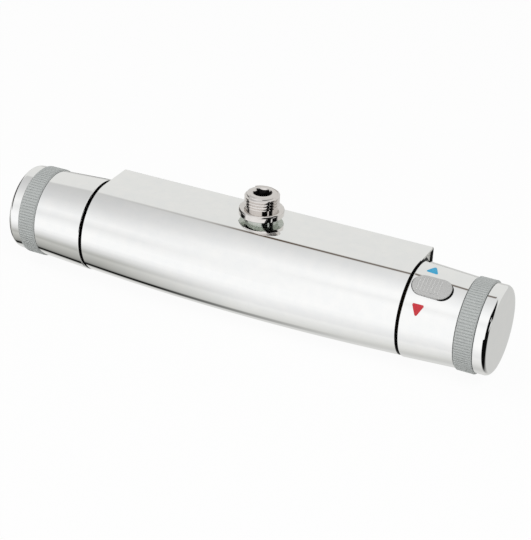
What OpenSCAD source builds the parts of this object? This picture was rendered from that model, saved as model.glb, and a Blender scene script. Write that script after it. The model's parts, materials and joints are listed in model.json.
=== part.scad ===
// Thermostatic shower valve: a chromed bar with a flat shelf, a temperature knob on the
// right, a flow knob on the left, an outlet on top and two wall inlets behind.
// X runs along the bar to the temperature knob, Y towards the wall, Z up.
// The origin lies midway between the two inlets, where their sealing washers meet the wall pipes.

/* [Cover] */
// How far the cover reaches past each inlet
cover_overhang = 27.4; // [26:0.1:29]
// Radius of the cover's round front at its ends
cover_end_r = 28; // [27.6:0.1:30]
// How much deeper the cover hangs at mid length than at its ends
cover_bulge = 3; // [1:0.5:4]
// Distance from the bar's axis to the cover's flat back
cover_back = 27; // [26.8:0.1:27.6]
// Radius of the cover's top rear edge
cover_edge_r = 2.4; // [2.1:0.1:3]
// Wall thickness of the cover
cover_wall = 2; // [1.6:0.1:2.2]
// Thickness of the cover's end walls
end_wall = 2; // [1.5:0.1:2.5]
// Depth of the end walls behind the cover's rim
end_recess = 1.2; // [0.6:0.1:2]

/* [Body casting] */
// Distance from the cover's flat back to the plane where the inlets seal
wall_stand = 13; // [13:0.5:17]
// Distance between the hot and cold inlets
inlet_centres = 150; // [149:0.5:152]
// Radius of the brass barrel
barrel_r = 18; // [17.2:0.1:22]
// Radius of the necks that carry the end fittings
neck_r = 16.5; // [16.2:0.1:17]
// Height of the outlet boss above the axis
boss_top = 24.3; // [23.8:0.1:24.6]
// Radius of the outlet boss
boss_r = 13; // [12:0.5:14]
// How far the inlet bosses end short of the cover's flat back
port_recess = 3; // [2.5:0.1:4]
// Radius of the inlet bosses
port_boss_r = 13.6; // [13:0.1:13.8]
// Radius of the hot water gallery
gallery_r = 3; // [2.6:0.1:3.2]
// Wall of the hot water gallery
gallery_wall = 2; // [1.8:0.1:2.2]
// Radius of the passage at the flow cartridge and the wax element
mixed_r = 7; // [5:0.5:8]
// Radius of the mixing chamber between the cartridges
mixing_r = 10; // [8:0.5:10.5]

/* [Outlet] */
// Distance of the outlet behind the bar's axis
outlet_y = 8.3; // [7:0.1:8.6]
// Major radius of the outlet thread
outlet_thread_r = 10.4775; // [10.4:0.0005:10.6]
// Minor radius of the outlet thread
outlet_root_r = 9.316; // [9.2:0.001:9.5]
// Pitch of the outlet thread
outlet_pitch = 1.814; // [1.6:0.001:2]
// Number of full threads on the outlet
outlet_crests = 5; // [4:1:7]
// Radius of the outlet flange
flange_r = 13.6; // [12.5:0.1:15]
// Thickness of the outlet flange
flange_h = 4; // [3.4:0.1:5]
// Gap between the cover's shelf and the outlet flange
flange_lift = 3; // [2:0.1:5]
// Radius of the outlet's neck under its flange
outlet_neck_r = 10.3; // [10:0.1:10.6]
// Radius of the outlet's screw-in end
outlet_tail_r = 7; // [6.6:0.1:7.2]
// Radius of the water way through the outlet
outlet_bore_r = 4.8; // [4:0.1:4.9]
// Width across the flats of the outlet's hexagon socket
socket_af = 10; // [9.9:0.1:12]
// Depth of the outlet's hexagon socket
socket_depth = 7; // [5:0.5:9]

/* [Inlets] */
// Radius of the union nut's thread bore
union_bore_r = 12.06; // [12:0.01:12.2]
// Width across the flats of the union nut
union_af = 30; // [29.5:0.5:32]
// Length of the union nut's thread
union_thread = 8; // [7:0.5:8.5]
// Thickness of the sealing washers
washer_t = 2; // [1.5:0.1:2.5]
// Thickness of the inlet tail's head
tail_head = 3; // [2.5:0.1:3.5]
// Radius of the inlet tail's head
tail_head_r = 11.6; // [11.3:0.1:11.8]
// Radius of the inlet tail's tube
tail_r = 10.2; // [9.8:0.1:10.4]
// Radius of the inlet tail's screw-in end
tail_thread_r = 10.4; // [10:0.1:10.8]
// Depth of the inlet tail's thread in the body
tail_thread = 7.6; // [6:0.1:7.8]
// Radius of the inlet tail's shoulder
shoulder_r = 13.2; // [12.6:0.1:14.4]
// Thickness of the inlet tail's shoulder
shoulder_t = 3.4; // [3.2:0.1:3.8]
// Radius of the check valve in the inlet tail
check_r = 7.15; // [7:0.05:7.4]
// Length of the check valve
check_length = 15; // [14:0.5:16]
// Travel of the check valve's poppet
poppet_travel = 2.5; // [1.5:0.1:2.8]

/* [Knobs] */
// Gap between the cover and each knob
seam_gap = 1.6; // [1.3:0.1:2.5]
// Length of a knob's sleeve, from the gap to its end cap
sleeve_length = 43.7; // [43:0.1:47]
// Radius of the sleeve's lip at the gap
lip_r = 28.5; // [28.2:0.1:29.5]
// Radius of the sleeve next to its grip ring
sleeve_r = 26.7; // [26.5:0.1:27]
// Bore radius of the sleeve
sleeve_bore_r = 23.8; // [23.6:0.1:24.2]
// Radius over the ribs of the grip ring
grip_r = 27.5; // [27.2:0.1:28.5]
// Width of the grip ring
grip_width = 11.4; // [9:0.1:13]
// Number of ribs on the grip ring
grip_ribs = 96; // [72:4:108]
// Height of the ribs on the grip ring
rib_h = 0.45; // [0.3:0.05:0.7]
// Length of the end cap
cap_length = 7.8; // [6:0.1:10]
// Radius of the end cap
cap_r = 26.4; // [26:0.1:26.7]
// Edge radius of the end cap
cap_edge_r = 3; // [1:0.1:4]
// Radius of the knob spindles
spindle_r = 4; // [3.6:0.1:4.2]

/* [Stop button] */
// Length of the stop button along the bar
button_length = 23.4; // [20:0.2:23.6]
// Width of the stop button
button_width = 13.2; // [11:0.2:14]
// Height of the stop button's crown above the sleeve's lip
button_proud = 0.9; // [0.3:0.1:2.5]
// Angle of the stop button from the top of the bar towards the front
button_angle = 30; // [26:1:34]
// Travel of the stop button
button_travel = 2; // [1:0.1:2]
// Distance from the seam to the middle of the stop button
button_offset = 13; // [12.8:0.1:14]
// Number of ribs on the stop button
button_ribs = 7; // [5:1:8]
// Spacing of the ribs on the stop button
button_rib_pitch = 1.83; // [1.5:0.01:2]

/* [Markers] */
// Angle from the stop button to the cold marker's near edge
cold_marker_offset = 21.4; // [20:0.2:28]
// Angle from the stop button to the hot marker's near edge
hot_marker_offset = 24; // [20:0.2:28]
// Length of a marker along the bar
marker_width = 7.6; // [5:0.2:9]
// Length of a marker round the knob
marker_height = 7.8; // [5:0.2:9]
// Corner radius of a marker
marker_corner_r = 0.8; // [0.4:0.1:1.2]

/* [Thermostatic cartridge] */
// Bore radius of the body round the cartridge
thermo_r = 13; // [12.6:0.1:13.4]
// Bore radius of the cartridge sleeve
shuttle_bore_r = 9; // [8.8:0.1:9.2]
// Distance between the hot and cold windows
window_spacing = 14.7; // [14:0.1:15]
// Width of the hot and cold windows along the bar
window_w = 3.6; // [3.2:0.1:4]
// Distance from the cold window to the cartridge's outer end
cold_window_inset = 23; // [22.8:0.1:24]
// Distance from the hot window to the cartridge's inner end
bulb_chamber = 13; // [12.6:0.1:14]
// Radius of the wax element's bulb
bulb_r = 4.6; // [4:0.1:4.8]
// Radius of the sealing rings' section
ring_cord_r = 1.2; // [1:0.05:1.3]
// Length of the pusher
pusher_length = 10.8; // [10:0.1:11]
// Distance from the cartridge head to the pusher at rest
pusher_gap = 1.25; // [1.1:0.05:1.6]

/* [Flow cartridge] */
// Bore radius of the body round the flow cartridge
flow_r = 10.5; // [10.2:0.1:10.9]
// Length of the flow cartridge behind its seat in the body
flow_length = 40; // [39:0.5:42]
// Radius of the ceramic discs
disc_r = 7.5; // [7:0.1:7.5]
// Thickness of a ceramic disc
disc_t = 3; // [2.4:0.1:3.2]
// Radius of the ports in the ceramic discs
disc_port_r = 2.2; // [1.6:0.1:2.4]
// Distance of the ports from the disc's centre
disc_port_offset = 3.9; // [3.6:0.1:4.2]

/* [Clearances] */
// Radial running clearance between turning and sliding parts
run_gap = 0.05; // [0.03:0.01:0.08]
// Clearance between parts that are assembled and stay put
slip_gap = 0.1; // [0.05:0.01:0.15]
// Clearance where the cover passes over the body
cover_gap = 0.3; // [0.2:0.05:0.5]

/* [Hidden] */

$fn = 72;
chrome = "#D9DADC";
brass = "#C9A45A";
grip_grey = "#AEB2B2";
button_grey = "#BDBCBA";
white_plastic = "#ECECE6";
black_rubber = "#2A2A2C";
steel = "#B9BDC1";
ceramic = "#F2EFE6";

// A cut runs this far past the faces that it opens
past = 1;
// Steps of the cover's outline and of its length
arc_steps = 42;
corner_steps = 4;
length_steps = 12;

// Places along the bar, from mid length outwards
cover_length = inlet_centres + 2 * cover_overhang;
cover_half = cover_length / 2;
inlet_x = inlet_centres / 2;
bar_setback = cover_back + wall_stand;
port_reach = cover_back - port_recess;
cover_screw_inset = 35;
cover_screw_depth = 12;
endwall_x = cover_half - end_recess - end_wall;
barrel_half = endwall_x - 1.2;
seat_x = barrel_half + 4;
cartridge_flange = 3;
nut_x = seat_x + cartridge_flange;
flow_start = seat_x - flow_length;
nut_length = 6;
neck_x = nut_x + nut_length + 1;
knob_x = cover_half + seam_gap;
cap_x = knob_x + sleeve_length;
bar_end = cap_x + cap_length;
grip_x = cap_x - grip_width;
hub_disc_x = grip_x - 5.3;
hub_disc_t = 2.5;
stem_x = neck_x + 14;
screw_hole_x = stem_x - 9;

// Fits of the end fittings
nut_bore_r = neck_r - 1.9;
nut_r = nut_bore_r - slip_gap;
cartridge_flange_r = nut_bore_r - 2 * slip_gap;
stop_ring_r = neck_r + 1.2;
stop_lug_r = stop_ring_r + 1.2;
finger_in_r = stop_ring_r + 0.3;
finger_out_r = stop_lug_r + 1.1;
finger_half_angle = 6;
stop_ring_x = cover_half + 0.5;
stop_ring_end = neck_x - 3;
stop_lug_x = knob_x + 2.9;
screw_r = 1.95;

// Travel of the two knobs from the photographed position, positive towards hot and open
temp_cold_deg = -190;
temp_hot_deg = 75;
flow_open_deg = 90;
stop_finger_angle = 180;

// Water ways in the body
gallery_y = cover_back - cover_wall - gallery_r - gallery_wall - 0.5;
gallery_z = 16.5;
socket_turn = 15;
outlet_gallery_r = 3.3;
hot_link_r = 2.8;
port_link_r = 2.8;
link_wall = 2.2;
outlet_gallery_z = 15;
flow_outlet_x = flow_start + 14;
outlet_thread_z = boss_top - 10.8;
port_floor = port_reach - tail_thread - 0.4;
hot_link_y = port_floor - 1.8;

// Thermostatic cartridge, inner end first
cart_end = seat_x - 4;
cold_x = cart_end - cold_window_inset;
hot_x = cold_x - window_spacing;
cart_x = hot_x - bulb_chamber;
cart_wall = 1.5;
housing_r = thermo_r - slip_gap;
groove_r = thermo_r - 2 * ring_cord_r;
groove_w = 2 * ring_cord_r + 0.2;
ring_inset = 12.8;
ring_places = [cart_x + 5, (hot_x + cold_x) / 2 - 0.4, cart_end - ring_inset];
chamber_r = housing_r - 1.3;
shuttle_r = shuttle_bore_r - run_gap;
shuttle_ring_r = shuttle_r - 1.95;
shuttle_web_x = hot_x + 3.7;
shuttle_web_t = 2;
return_spring_r = 6.2;
return_wire_r = 0.4;
pusher_x1 = cart_end - pusher_gap;
pusher_x0 = pusher_x1 - pusher_length;
pusher_floor = 1.2;
pusher_thread = 4;
pusher_cup_r = shuttle_r - 2.1;
thrust_head_t = 1.15;
thrust_stem_r = 2.2;
thrust_tip_x = pusher_x0 - 1.6;
overload_spring_r = 5.3;
overload_wire_r = 0.55;
spindle_cord_r = 1 - run_gap / 2;
collar_r = 6.5;
collar_t = 1.5;

// Flow cartridge, inner end first
flow_body_r = flow_r - slip_gap;
base_seal_t = 2.1;
disc_x = flow_start + base_seal_t + slip_gap;
moving_disc_x = disc_x + disc_t + run_gap;
driver_x = moving_disc_x + disc_t;
driver_t = 2;
tongue_t = 1;
tongue_w = 3;
flow_guide_x = flow_outlet_x + 8;
flow_ring_cord_r = 1;
flow_ring_x = flow_guide_x + 2;

// Stop button, in the turned frame of the button
button_x = knob_x + button_offset;
button_top_r = lip_r + button_proud;
button_base = 21.4;
button_skirt = 1;
button_flange_r = sleeve_bore_r - 0.2;
button_flange_z = 21.2;
pocket_gap = 0.4;
pocket_extra = 0.3;
button_rib_x = button_x - 6.2;
tray_z = 16;
tray_t = 2;
tray_x = neck_x + 2;
button_spring_x = button_x + 2;
button_spring_r = 2.2;
button_wire_r = 0.25;

// Inlet tails, measured from the bar's axis towards the wall
seal_y = bar_setback - washer_t;
head_y = seal_y - tail_head;
shoulder_y = port_reach + shoulder_t;
tail_bore_r = check_r + run_gap;
check_y1 = seal_y - 3;
check_y0 = check_y1 - check_length;
check_seat = 2;
check_bore_r = check_r - 1.95;
poppet_r = check_bore_r - 0.6;
poppet_t = 1.8;
poppet_stem_r = 1.2;
guide_t = 2;
check_spring_r = 3;
check_wire_r = 0.25;
nut_collar_r = tail_r + 0.08;
nut_collar_t = 4.1;
nut_relief_r = union_bore_r + 0.4;

// Radius of the sleeve's outside at a place along the bar
function sleeve_radius(x) =
    lip_r + (sleeve_r - lip_r) * (x - knob_x) / (grip_x - knob_x);

// Radius of the cover's round front at a place along the bar
function cover_radius(x) =
    cover_end_r + cover_bulge / 2 * (1 - pow(x / cover_half, 2));

// Outline of the cover as [y, z] points, counter-clockwise from the top, moved inwards by inset
function cover_outline(x, inset) =
    let (r = cover_radius(x) - inset)
    let (centre_z = cover_end_r - cover_radius(x))
    let (back = cover_back - inset)
    let (top = cover_end_r - inset)
    let (edge = cover_edge_r - inset > 0.1 ? cover_edge_r - inset : 0.1)
    let (sweep = 180 + asin(back / r))
    concat(
        [for (i = [0:arc_steps])
            let (a = sweep * i / arc_steps)
            [-r * sin(a), centre_z + r * cos(a)]],
        [for (i = [0:corner_steps])
            let (a = 90 * i / corner_steps)
            [back - edge + edge * cos(a), top - edge + edge * sin(a)]]
    );

// Puts its children, drawn round the bar's axis, in the part's frame
module on_bar() {
    translate([0, -bar_setback, 0]) children();
}

// Turns a profile of [radius, x] points round the bar's axis
module turned(profile) {
    rotate([0, 90, 0]) rotate_extrude() polygon(profile);
}

// Round rod along the bar
module rod(x0, x1, r) {
    translate([x0, 0, 0]) rotate([0, 90, 0]) cylinder(h = x1 - x0, r = r);
}

// Round tube along the bar
module tube(x0, x1, r_out, r_in) {
    difference() {
        rod(x0, x1, r_out);
        rod(x0 - past, x1 + past, r_in);
    }
}

// Sealing ring whose outside meets the bore of radius bore
module sealing_ring(x, bore, cord_r) {
    rotate([0, 90, 0]) rotate_extrude() translate([bore - cord_r, x]) circle(cord_r);
}

// Turns its children from the top of the bar towards the front by angle
module at_angle(angle) {
    rotate([angle, 0, 0]) children();
}

// Sector of a ring along the bar, from angle a0 to a1
module ring_sector(x0, x1, r_in, r_out, a0, a1) {
    rotate([a0, 0, 0]) rotate([0, 90, 0])
        rotate_extrude(angle = a1 - a0, start = 180) translate([r_in, x0]) square([r_out - r_in, x1 - x0]);
}

// Coil spring that stands on z = 0, as one unbroken tube
module coil_spring(length, coil_r, wire_r, turns) {
    sides = 6;
    steps = 14;
    count = turns * steps;
    rise = (length - 2 * wire_r) / count;
    points = [for (i = [0:count]) for (j = [0:sides - 1])
        let (a = 360 * i / steps)
        let (b = 360 * j / sides)
        let (r = coil_r + wire_r * cos(b))
        [r * cos(a), r * sin(a), wire_r + rise * i + wire_r * sin(b)]];
    walls = [for (i = [0:count - 1]) for (j = [0:sides - 1])
        let (k = (j + 1) % sides)
        let (p = i * sides)
        let (q = p + sides)
        each [[p + j, p + k, q + k], [p + j, q + k, q + j]]];
    first = [for (j = [0:sides - 1]) sides - 1 - j];
    last = [for (j = [0:sides - 1]) count * sides + j];
    polyhedron(points = points, faces = concat(walls, [first, last]));
}

// Solid of the cover's outline between two places along the bar
module cover_solid(half, inset) {
    places = [for (i = [0:length_steps]) half * (2 * i / length_steps - 1)];
    sections = [for (x = places) [for (p = cover_outline(x, inset)) [x, p[0], p[1]]]];
    n = len(sections[0]);
    walls = [for (i = [0:length_steps - 1]) for (j = [0:n - 1])
        let (k = (j + 1) % n)
        let (p = i * n)
        let (q = p + n)
        each [[p + j, q + j, q + k], [p + j, q + k, p + k]]];
    left = [for (j = [0:n - 1]) j];
    right = [for (j = [0:n - 1]) length_steps * n + n - 1 - j];
    polyhedron(points = [for (s = sections) each s], faces = concat(walls, [left, right]));
}

// Straight block of the cover's end outline
module cover_end_block(x0, x1) {
    translate([x0, 0, 0]) rotate([90, 0, 90]) linear_extrude(x1 - x0)
        polygon(cover_outline(cover_half, cover_wall));
}

// Places its children at each inlet, with +Z of the children along +Y
module at_inlet(side) {
    translate([side * inlet_x, 0, 0]) rotate([-90, 0, 0]) children();
}

// Places of the two screws that hold the cover to the body
module at_cover_screws() {
    for (side = [-1, 1])
        translate([side * (inlet_x - cover_screw_inset), 0, -3]) rotate([-90, 0, 0]) children();
}

module cover_shell() {
    color(chrome) on_bar() difference() {
        cover_solid(cover_half, 0);
        cover_solid(endwall_x, cover_wall);
        cover_end_block(endwall_x + end_wall, cover_half + past);
        cover_end_block(-cover_half - past, -endwall_x - end_wall);
        rod(-cover_half, cover_half, neck_r + cover_gap);
        translate([0, outlet_y, boss_top]) cylinder(h = cover_end_r, r = outlet_neck_r + cover_gap);
        for (side = [-1, 1]) at_inlet(side) translate([0, 0, port_reach - past])
            cylinder(h = cover_back, r = shoulder_r + 2 * cover_gap);
        at_cover_screws() translate([0, 0, port_reach - past])
            cylinder(h = cover_back, r = screw_r + cover_gap);
    }
}

module cover_screws() {
    head_r = 3.6;
    head_h = 2.2;
    reach = 10;
    color(steel) on_bar() at_cover_screws() difference() {
        union() {
            translate([0, 0, cover_back - reach]) cylinder(h = reach + head_h / 2, r = screw_r);
            translate([0, 0, cover_back + slip_gap]) cylinder(h = head_h, r = head_r);
        }
        for (a = [0, 90])
            rotate([0, 0, a]) translate([-2, -0.45, cover_back + head_h - 1]) cube([4, 0.9, 2]);
    }
}

module body_casting() {
    lug_r = 5;
    color(brass) on_bar() difference() {
        union() {
            rod(-barrel_half, barrel_half, barrel_r);
            rod(-neck_x, neck_x, neck_r);
            translate([0, gallery_y, gallery_z]) rod(-inlet_x - 9, hot_x + 7, gallery_r + gallery_wall);
            at_angle(-atan2(gallery_y, gallery_z)) translate([hot_x, 0, 0])
                cylinder(h = norm([gallery_y, gallery_z]), r = hot_link_r + link_wall);
            translate([-inlet_x, hot_link_y, 0]) cylinder(h = gallery_z, r = port_link_r + link_wall);
            translate([-inlet_x, hot_link_y, gallery_z]) rotate([-90, 0, 0])
                cylinder(h = gallery_y - hot_link_y, r = port_link_r + gallery_wall);
            translate([0, outlet_y, outlet_gallery_z])
                rod(-flow_outlet_x - 6, 0, outlet_gallery_r + link_wall);
            for (side = [-1, 1]) at_inlet(side) cylinder(h = port_reach, r = port_boss_r);
            translate([0, outlet_y, 0]) cylinder(h = boss_top, r = boss_r);
            at_cover_screws() cylinder(h = cover_back - cover_wall - slip_gap, r = lug_r);
        }
        // Cartridge bores, from the outside in
        for (side = [-1, 1]) mirror([side < 0 ? 1 : 0, 0, 0]) rod(seat_x, neck_x + past, nut_bore_r);
        rod(cart_x - 0.8, seat_x + past, thermo_r);
        rod(-seat_x - past, -flow_start, flow_r);
        rod(-flow_start - past, cart_x, mixed_r);
        rod(-flow_start + 8, cart_x - 4, mixing_r);
        // Hot water: inlet, gallery and the drilling into the cartridge bore
        translate([0, gallery_y, gallery_z]) rod(-inlet_x - 4, hot_x + 3.5, gallery_r);
        at_angle(-atan2(gallery_y, gallery_z))
            translate([hot_x, 0, thermo_r - 3]) cylinder(h = 14, r = hot_link_r);
        translate([-inlet_x, hot_link_y, 0]) cylinder(h = gallery_z, r = port_link_r);
        translate([-inlet_x, hot_link_y, gallery_z]) rotate([-90, 0, 0])
            cylinder(h = gallery_y - hot_link_y, r = port_link_r);
        at_inlet(-1) translate([0, 0, port_floor - 4]) cylinder(h = 8, r = 6);
        // Cold water goes straight in
        at_inlet(1) translate([0, 0, thermo_r - 4]) cylinder(h = 10, r = 5);
        for (side = [-1, 1]) at_inlet(side)
            translate([0, 0, port_floor]) cylinder(h = port_reach, r = tail_thread_r + run_gap);
        // Outlet: from the flow cartridge's side along a gallery to the boss
        translate([0, outlet_y, outlet_gallery_z]) rod(-flow_outlet_x - 3, 0, outlet_gallery_r);
        translate([-flow_outlet_x, outlet_y, flow_r / 2]) cylinder(h = outlet_gallery_z - flow_r / 2, r = 3);
        translate([0, outlet_y, outlet_thread_z]) cylinder(h = boss_top, r = outlet_tail_r + run_gap);
        at_cover_screws() translate([0, 0, cover_back - cover_screw_depth])
            cylinder(h = cover_back, r = screw_r + run_gap);
    }
}

// Profile of a thread as [radius, z] points: flat crests at the major radius
function thread_profile(z0, count, pitch, major, minor, land) =
    let (flank = (pitch - land - 0.3) / 2)
    [for (i = [0:count - 1]) each [
        [minor, z0 + i * pitch],
        [major, z0 + i * pitch + flank],
        [major, z0 + i * pitch + flank + land],
        [minor, z0 + i * pitch + 2 * flank + land]
    ]];

module outlet_nipple() {
    flange_z = cover_end_r + flange_lift;
    thread_z = flange_z + flange_h + 0.4;
    thread_top = thread_z + outlet_crests * outlet_pitch;
    top_z = thread_top + 0.3;
    seal_top = boss_top + 1.5;
    round_r = 1.4;
    tail_z = outlet_thread_z + 1;
    color(chrome) on_bar() translate([0, outlet_y, 0]) difference() {
        union() {
            translate([0, 0, tail_z]) cylinder(h = flange_z - tail_z, r = outlet_tail_r);
            translate([0, 0, seal_top]) cylinder(h = flange_z - seal_top + past, r = outlet_neck_r);
            rotate_extrude() translate([0, flange_z]) {
                square([flange_r, flange_h - round_r]);
                square([flange_r - round_r, flange_h]);
                translate([flange_r - round_r, flange_h - round_r]) circle(round_r);
            }
            rotate_extrude() polygon(concat(
                [[0, flange_z + flange_h - 0.2], [outlet_root_r, flange_z + flange_h - 0.2]],
                thread_profile(thread_z, outlet_crests, outlet_pitch, outlet_thread_r, outlet_root_r, 0.45),
                [[outlet_root_r - 0.3, top_z], [0, top_z]]
            ));
        }
        translate([0, 0, tail_z - past]) cylinder(h = top_z - tail_z + 2 * past, r = outlet_bore_r);
        translate([0, 0, top_z - socket_depth]) rotate([0, 0, socket_turn])
            cylinder(h = socket_depth + past, d = socket_af / cos(30), $fn = 6);
        translate([0, 0, top_z - 1]) cylinder(h = 2, r1 = socket_af / 2 - 0.1, r2 = socket_af / 2 + 1.9);
    }
}

module outlet_seal() {
    color(black_rubber) on_bar() translate([0, outlet_y, boss_top]) difference() {
        cylinder(h = 1.5, r = outlet_neck_r - 0.3);
        translate([0, 0, -past]) cylinder(h = 4, r = outlet_tail_r + slip_gap);
    }
}

module inlet_tail(side) {
    tail_end = port_reach - tail_thread;
    color(brass) on_bar() at_inlet(side) difference() {
        union() {
            translate([0, 0, tail_end]) cylinder(h = tail_thread, r = tail_thread_r);
            translate([0, 0, port_reach]) cylinder(h = shoulder_t, r = shoulder_r);
            translate([0, 0, shoulder_y - past]) cylinder(h = head_y - shoulder_y + past, r = tail_r);
            translate([0, 0, head_y]) cylinder(h = tail_head, r = tail_head_r);
        }
        translate([0, 0, check_y0 - slip_gap]) cylinder(h = bar_setback, r = tail_bore_r);
        translate([0, 0, tail_end - past]) cylinder(h = bar_setback, r = tail_bore_r - 0.9);
    }
}

module inlet_washer(side) {
    color(black_rubber) on_bar() at_inlet(side) translate([0, 0, seal_y]) difference() {
        cylinder(h = washer_t, r = tail_head_r - slip_gap);
        translate([0, 0, -past]) cylinder(h = washer_t + 2 * past, r = tail_bore_r - slip_gap);
    }
}

module inlet_filter(side) {
    hole_pitch = 2.4;
    hole_r = 0.85;
    color(steel) on_bar() at_inlet(side) translate([0, 0, seal_y + washer_t / 2 - 0.3]) difference() {
        cylinder(h = 0.6, r = tail_bore_r - slip_gap - run_gap);
        for (row = [-2:2]) for (col = [-2:2])
            if (abs(col - row / 2) < 2.6 && abs(row + col) < 5)
                translate([(col - row / 2) * hole_pitch, row * hole_pitch * sin(60), -past])
                    if (norm([(col - row / 2) * hole_pitch, row * hole_pitch * sin(60)]) < tail_bore_r - 1.6)
                        cylinder(h = 3, r = hole_r);
    }
}

module check_valve(side) {
    color(white_plastic) on_bar() at_inlet(side) difference() {
        translate([0, 0, check_y0]) cylinder(h = check_length, r = check_r);
        translate([0, 0, check_y0 + guide_t])
            cylinder(h = check_length - guide_t - check_seat, r = check_bore_r);
        translate([0, 0, check_y1 - check_seat - past])
            cylinder(h = check_seat + 2 * past, r = poppet_r - 0.8);
        translate([0, 0, check_y0 - past]) cylinder(h = guide_t + 2 * past, r = poppet_stem_r + run_gap);
        for (i = [0:3]) rotate([0, 0, 45 + 90 * i])
            translate([3.4, 0, check_y0 - past]) cylinder(h = guide_t + 2 * past, r = 1.2);
    }
}

module check_poppet(side) {
    poppet_y = check_y1 - check_seat - run_gap;
    color("#4F7FB5") on_bar() at_inlet(side) {
        translate([0, 0, poppet_y - poppet_t]) cylinder(h = poppet_t, r = poppet_r);
        translate([0, 0, check_y0 - 0.4])
            cylinder(h = poppet_y - poppet_t - check_y0 + 0.5, r = poppet_stem_r);
    }
}

module check_spring(side) {
    spring_y0 = check_y0 + guide_t + run_gap;
    spring_y1 = check_y1 - check_seat - poppet_t - 2 * run_gap;
    color(steel) on_bar() at_inlet(side) translate([0, 0, spring_y0])
        coil_spring(spring_y1 - spring_y0, check_spring_r, check_wire_r, 5);
}

module union_nut(side) {
    bottom = head_y - run_gap - nut_collar_t;
    thread_y = bar_setback;
    top = thread_y + union_thread;
    corner = union_af / 2 / cos(30);
    chamfer = 1.2;
    color(chrome) on_bar() at_inlet(side) difference() {
        intersection() {
            translate([0, 0, bottom]) cylinder(h = top - bottom, r = corner, $fn = 6);
            rotate_extrude() polygon([
                [0, bottom], [corner - chamfer, bottom], [corner + 0.2, bottom + chamfer],
                [corner + 0.2, top - chamfer], [corner - chamfer, top], [0, top]
            ]);
        }
        translate([0, 0, bottom - past]) cylinder(h = nut_collar_t + 2 * past, r = nut_collar_r);
        translate([0, 0, bottom + nut_collar_t])
            cylinder(h = thread_y - bottom - nut_collar_t, r = nut_relief_r);
        translate([0, 0, thread_y - past]) cylinder(h = union_thread + 2 * past, r = union_bore_r);
    }
}

module cartridge_sleeve() {
    color(white_plastic) on_bar() difference() {
        rod(cart_x, cart_end, housing_r);
        rod(cart_x + cart_wall, cart_end + past, shuttle_bore_r);
        rod(cart_x - past, cart_x + cart_wall + past, bulb_r + 0.8);
        for (i = [0:7]) at_angle(45 * i)
            translate([cart_x - past, 0, 7.2]) rotate([0, 90, 0]) cylinder(h = cart_wall + 2 * past, r = 0.9);
        // Water chambers round the windows, and the windows
        for (x = [hot_x, cold_x]) {
            tube(x - window_w, x + window_w, housing_r + past, chamber_r);
            for (i = [0:3]) at_angle(45 + 90 * i)
                translate([x - window_w / 2, -3.5, shuttle_bore_r - 2]) cube([window_w, 7, 8]);
        }
        for (x = ring_places) tube(x - groove_w / 2, x + groove_w / 2, housing_r + past, groove_r);
    }
}

module cartridge_head() {
    recess_x = cart_end + run_gap;
    color(white_plastic) on_bar() difference() {
        union() {
            rod(recess_x, seat_x + past, housing_r);
            rod(seat_x + slip_gap, nut_x, cartridge_flange_r);
        }
        rod(recess_x - past, recess_x + collar_t + 0.2, collar_r + 0.2);
        rod(recess_x, nut_x + past, spindle_r + run_gap);
        tube(seat_x - 0.5, seat_x + 1.7, spindle_r + 2, spindle_r - past);
    }
}

// Sealing rings of the thermostatic cartridge, with the one round its spindle
module cartridge_seals() {
    color(black_rubber) on_bar() {
        for (x = ring_places) sealing_ring(x, thermo_r, ring_cord_r);
        sealing_ring(seat_x + 0.6, spindle_r + 2, spindle_cord_r);
    }
}

// Ring nut that holds a cartridge in its neck, on the side of sign side
module ring_nut(side) {
    color(brass) on_bar() mirror([side < 0 ? 1 : 0, 0, 0]) difference() {
        tube(nut_x, nut_x + nut_length, nut_r, spindle_r + 4);
        for (i = [0:3]) at_angle(45 + 90 * i)
            translate([nut_x + nut_length - 2.5, -1.5, spindle_r + 5.5]) cube([2.5 + past, 3, 12]);
    }
}

module shuttle() {
    color("#8C8F94") on_bar() difference() {
        rod(hot_x, cold_x, shuttle_r);
        rod(hot_x - past, shuttle_web_x, shuttle_ring_r);
        rod(shuttle_web_x + shuttle_web_t, cold_x + past, shuttle_ring_r);
        rod(hot_x, cold_x, 3.3);
        for (i = [0:5]) at_angle(60 * i)
            translate([shuttle_web_x - past, 0, 5.1]) rotate([0, 90, 0]) cylinder(h = 4, r = 1.1);
    }
}

module wax_element() {
    guide_x = shuttle_web_x + shuttle_web_t + 8;
    color("#C98B5A") on_bar() {
        rod(cart_x + 2.2, shuttle_web_x, bulb_r);
        rod(shuttle_web_x - 1.2, shuttle_web_x - run_gap, 5);
        rod(shuttle_web_x - past, guide_x, 3.2);
        rod(guide_x - past, thrust_tip_x - run_gap, 1.6);
    }
}

module return_spring() {
    start = cart_x + cart_wall + slip_gap;
    end = shuttle_web_x - slip_gap;
    color(steel) on_bar() translate([start, 0, 0]) rotate([0, 90, 0])
        coil_spring(end - start, return_spring_r, return_wire_r, 5);
}

module thrust_button() {
    head_x = pusher_x0 + pusher_floor + run_gap;
    color(brass) on_bar() {
        rod(head_x, head_x + thrust_head_t, pusher_cup_r - 0.2);
        rod(thrust_tip_x, head_x + past, thrust_stem_r);
    }
}

module overload_spring() {
    start = pusher_x0 + pusher_floor + thrust_head_t + 2 * run_gap;
    end = pusher_x1 - pusher_thread - run_gap;
    color(steel) on_bar() translate([start, 0, 0]) rotate([0, 90, 0])
        coil_spring(end - start, overload_spring_r, overload_wire_r, 2);
}

module pusher() {
    color(brass) on_bar() difference() {
        rod(pusher_x0, pusher_x1, shuttle_r);
        rod(pusher_x0 + pusher_floor, pusher_x1 - pusher_thread, pusher_cup_r);
        rod(pusher_x1 - pusher_thread - past, pusher_x1 + past, spindle_r);
        rod(pusher_x0 - past, pusher_x0 + pusher_floor + past, thrust_stem_r + run_gap);
    }
}

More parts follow.
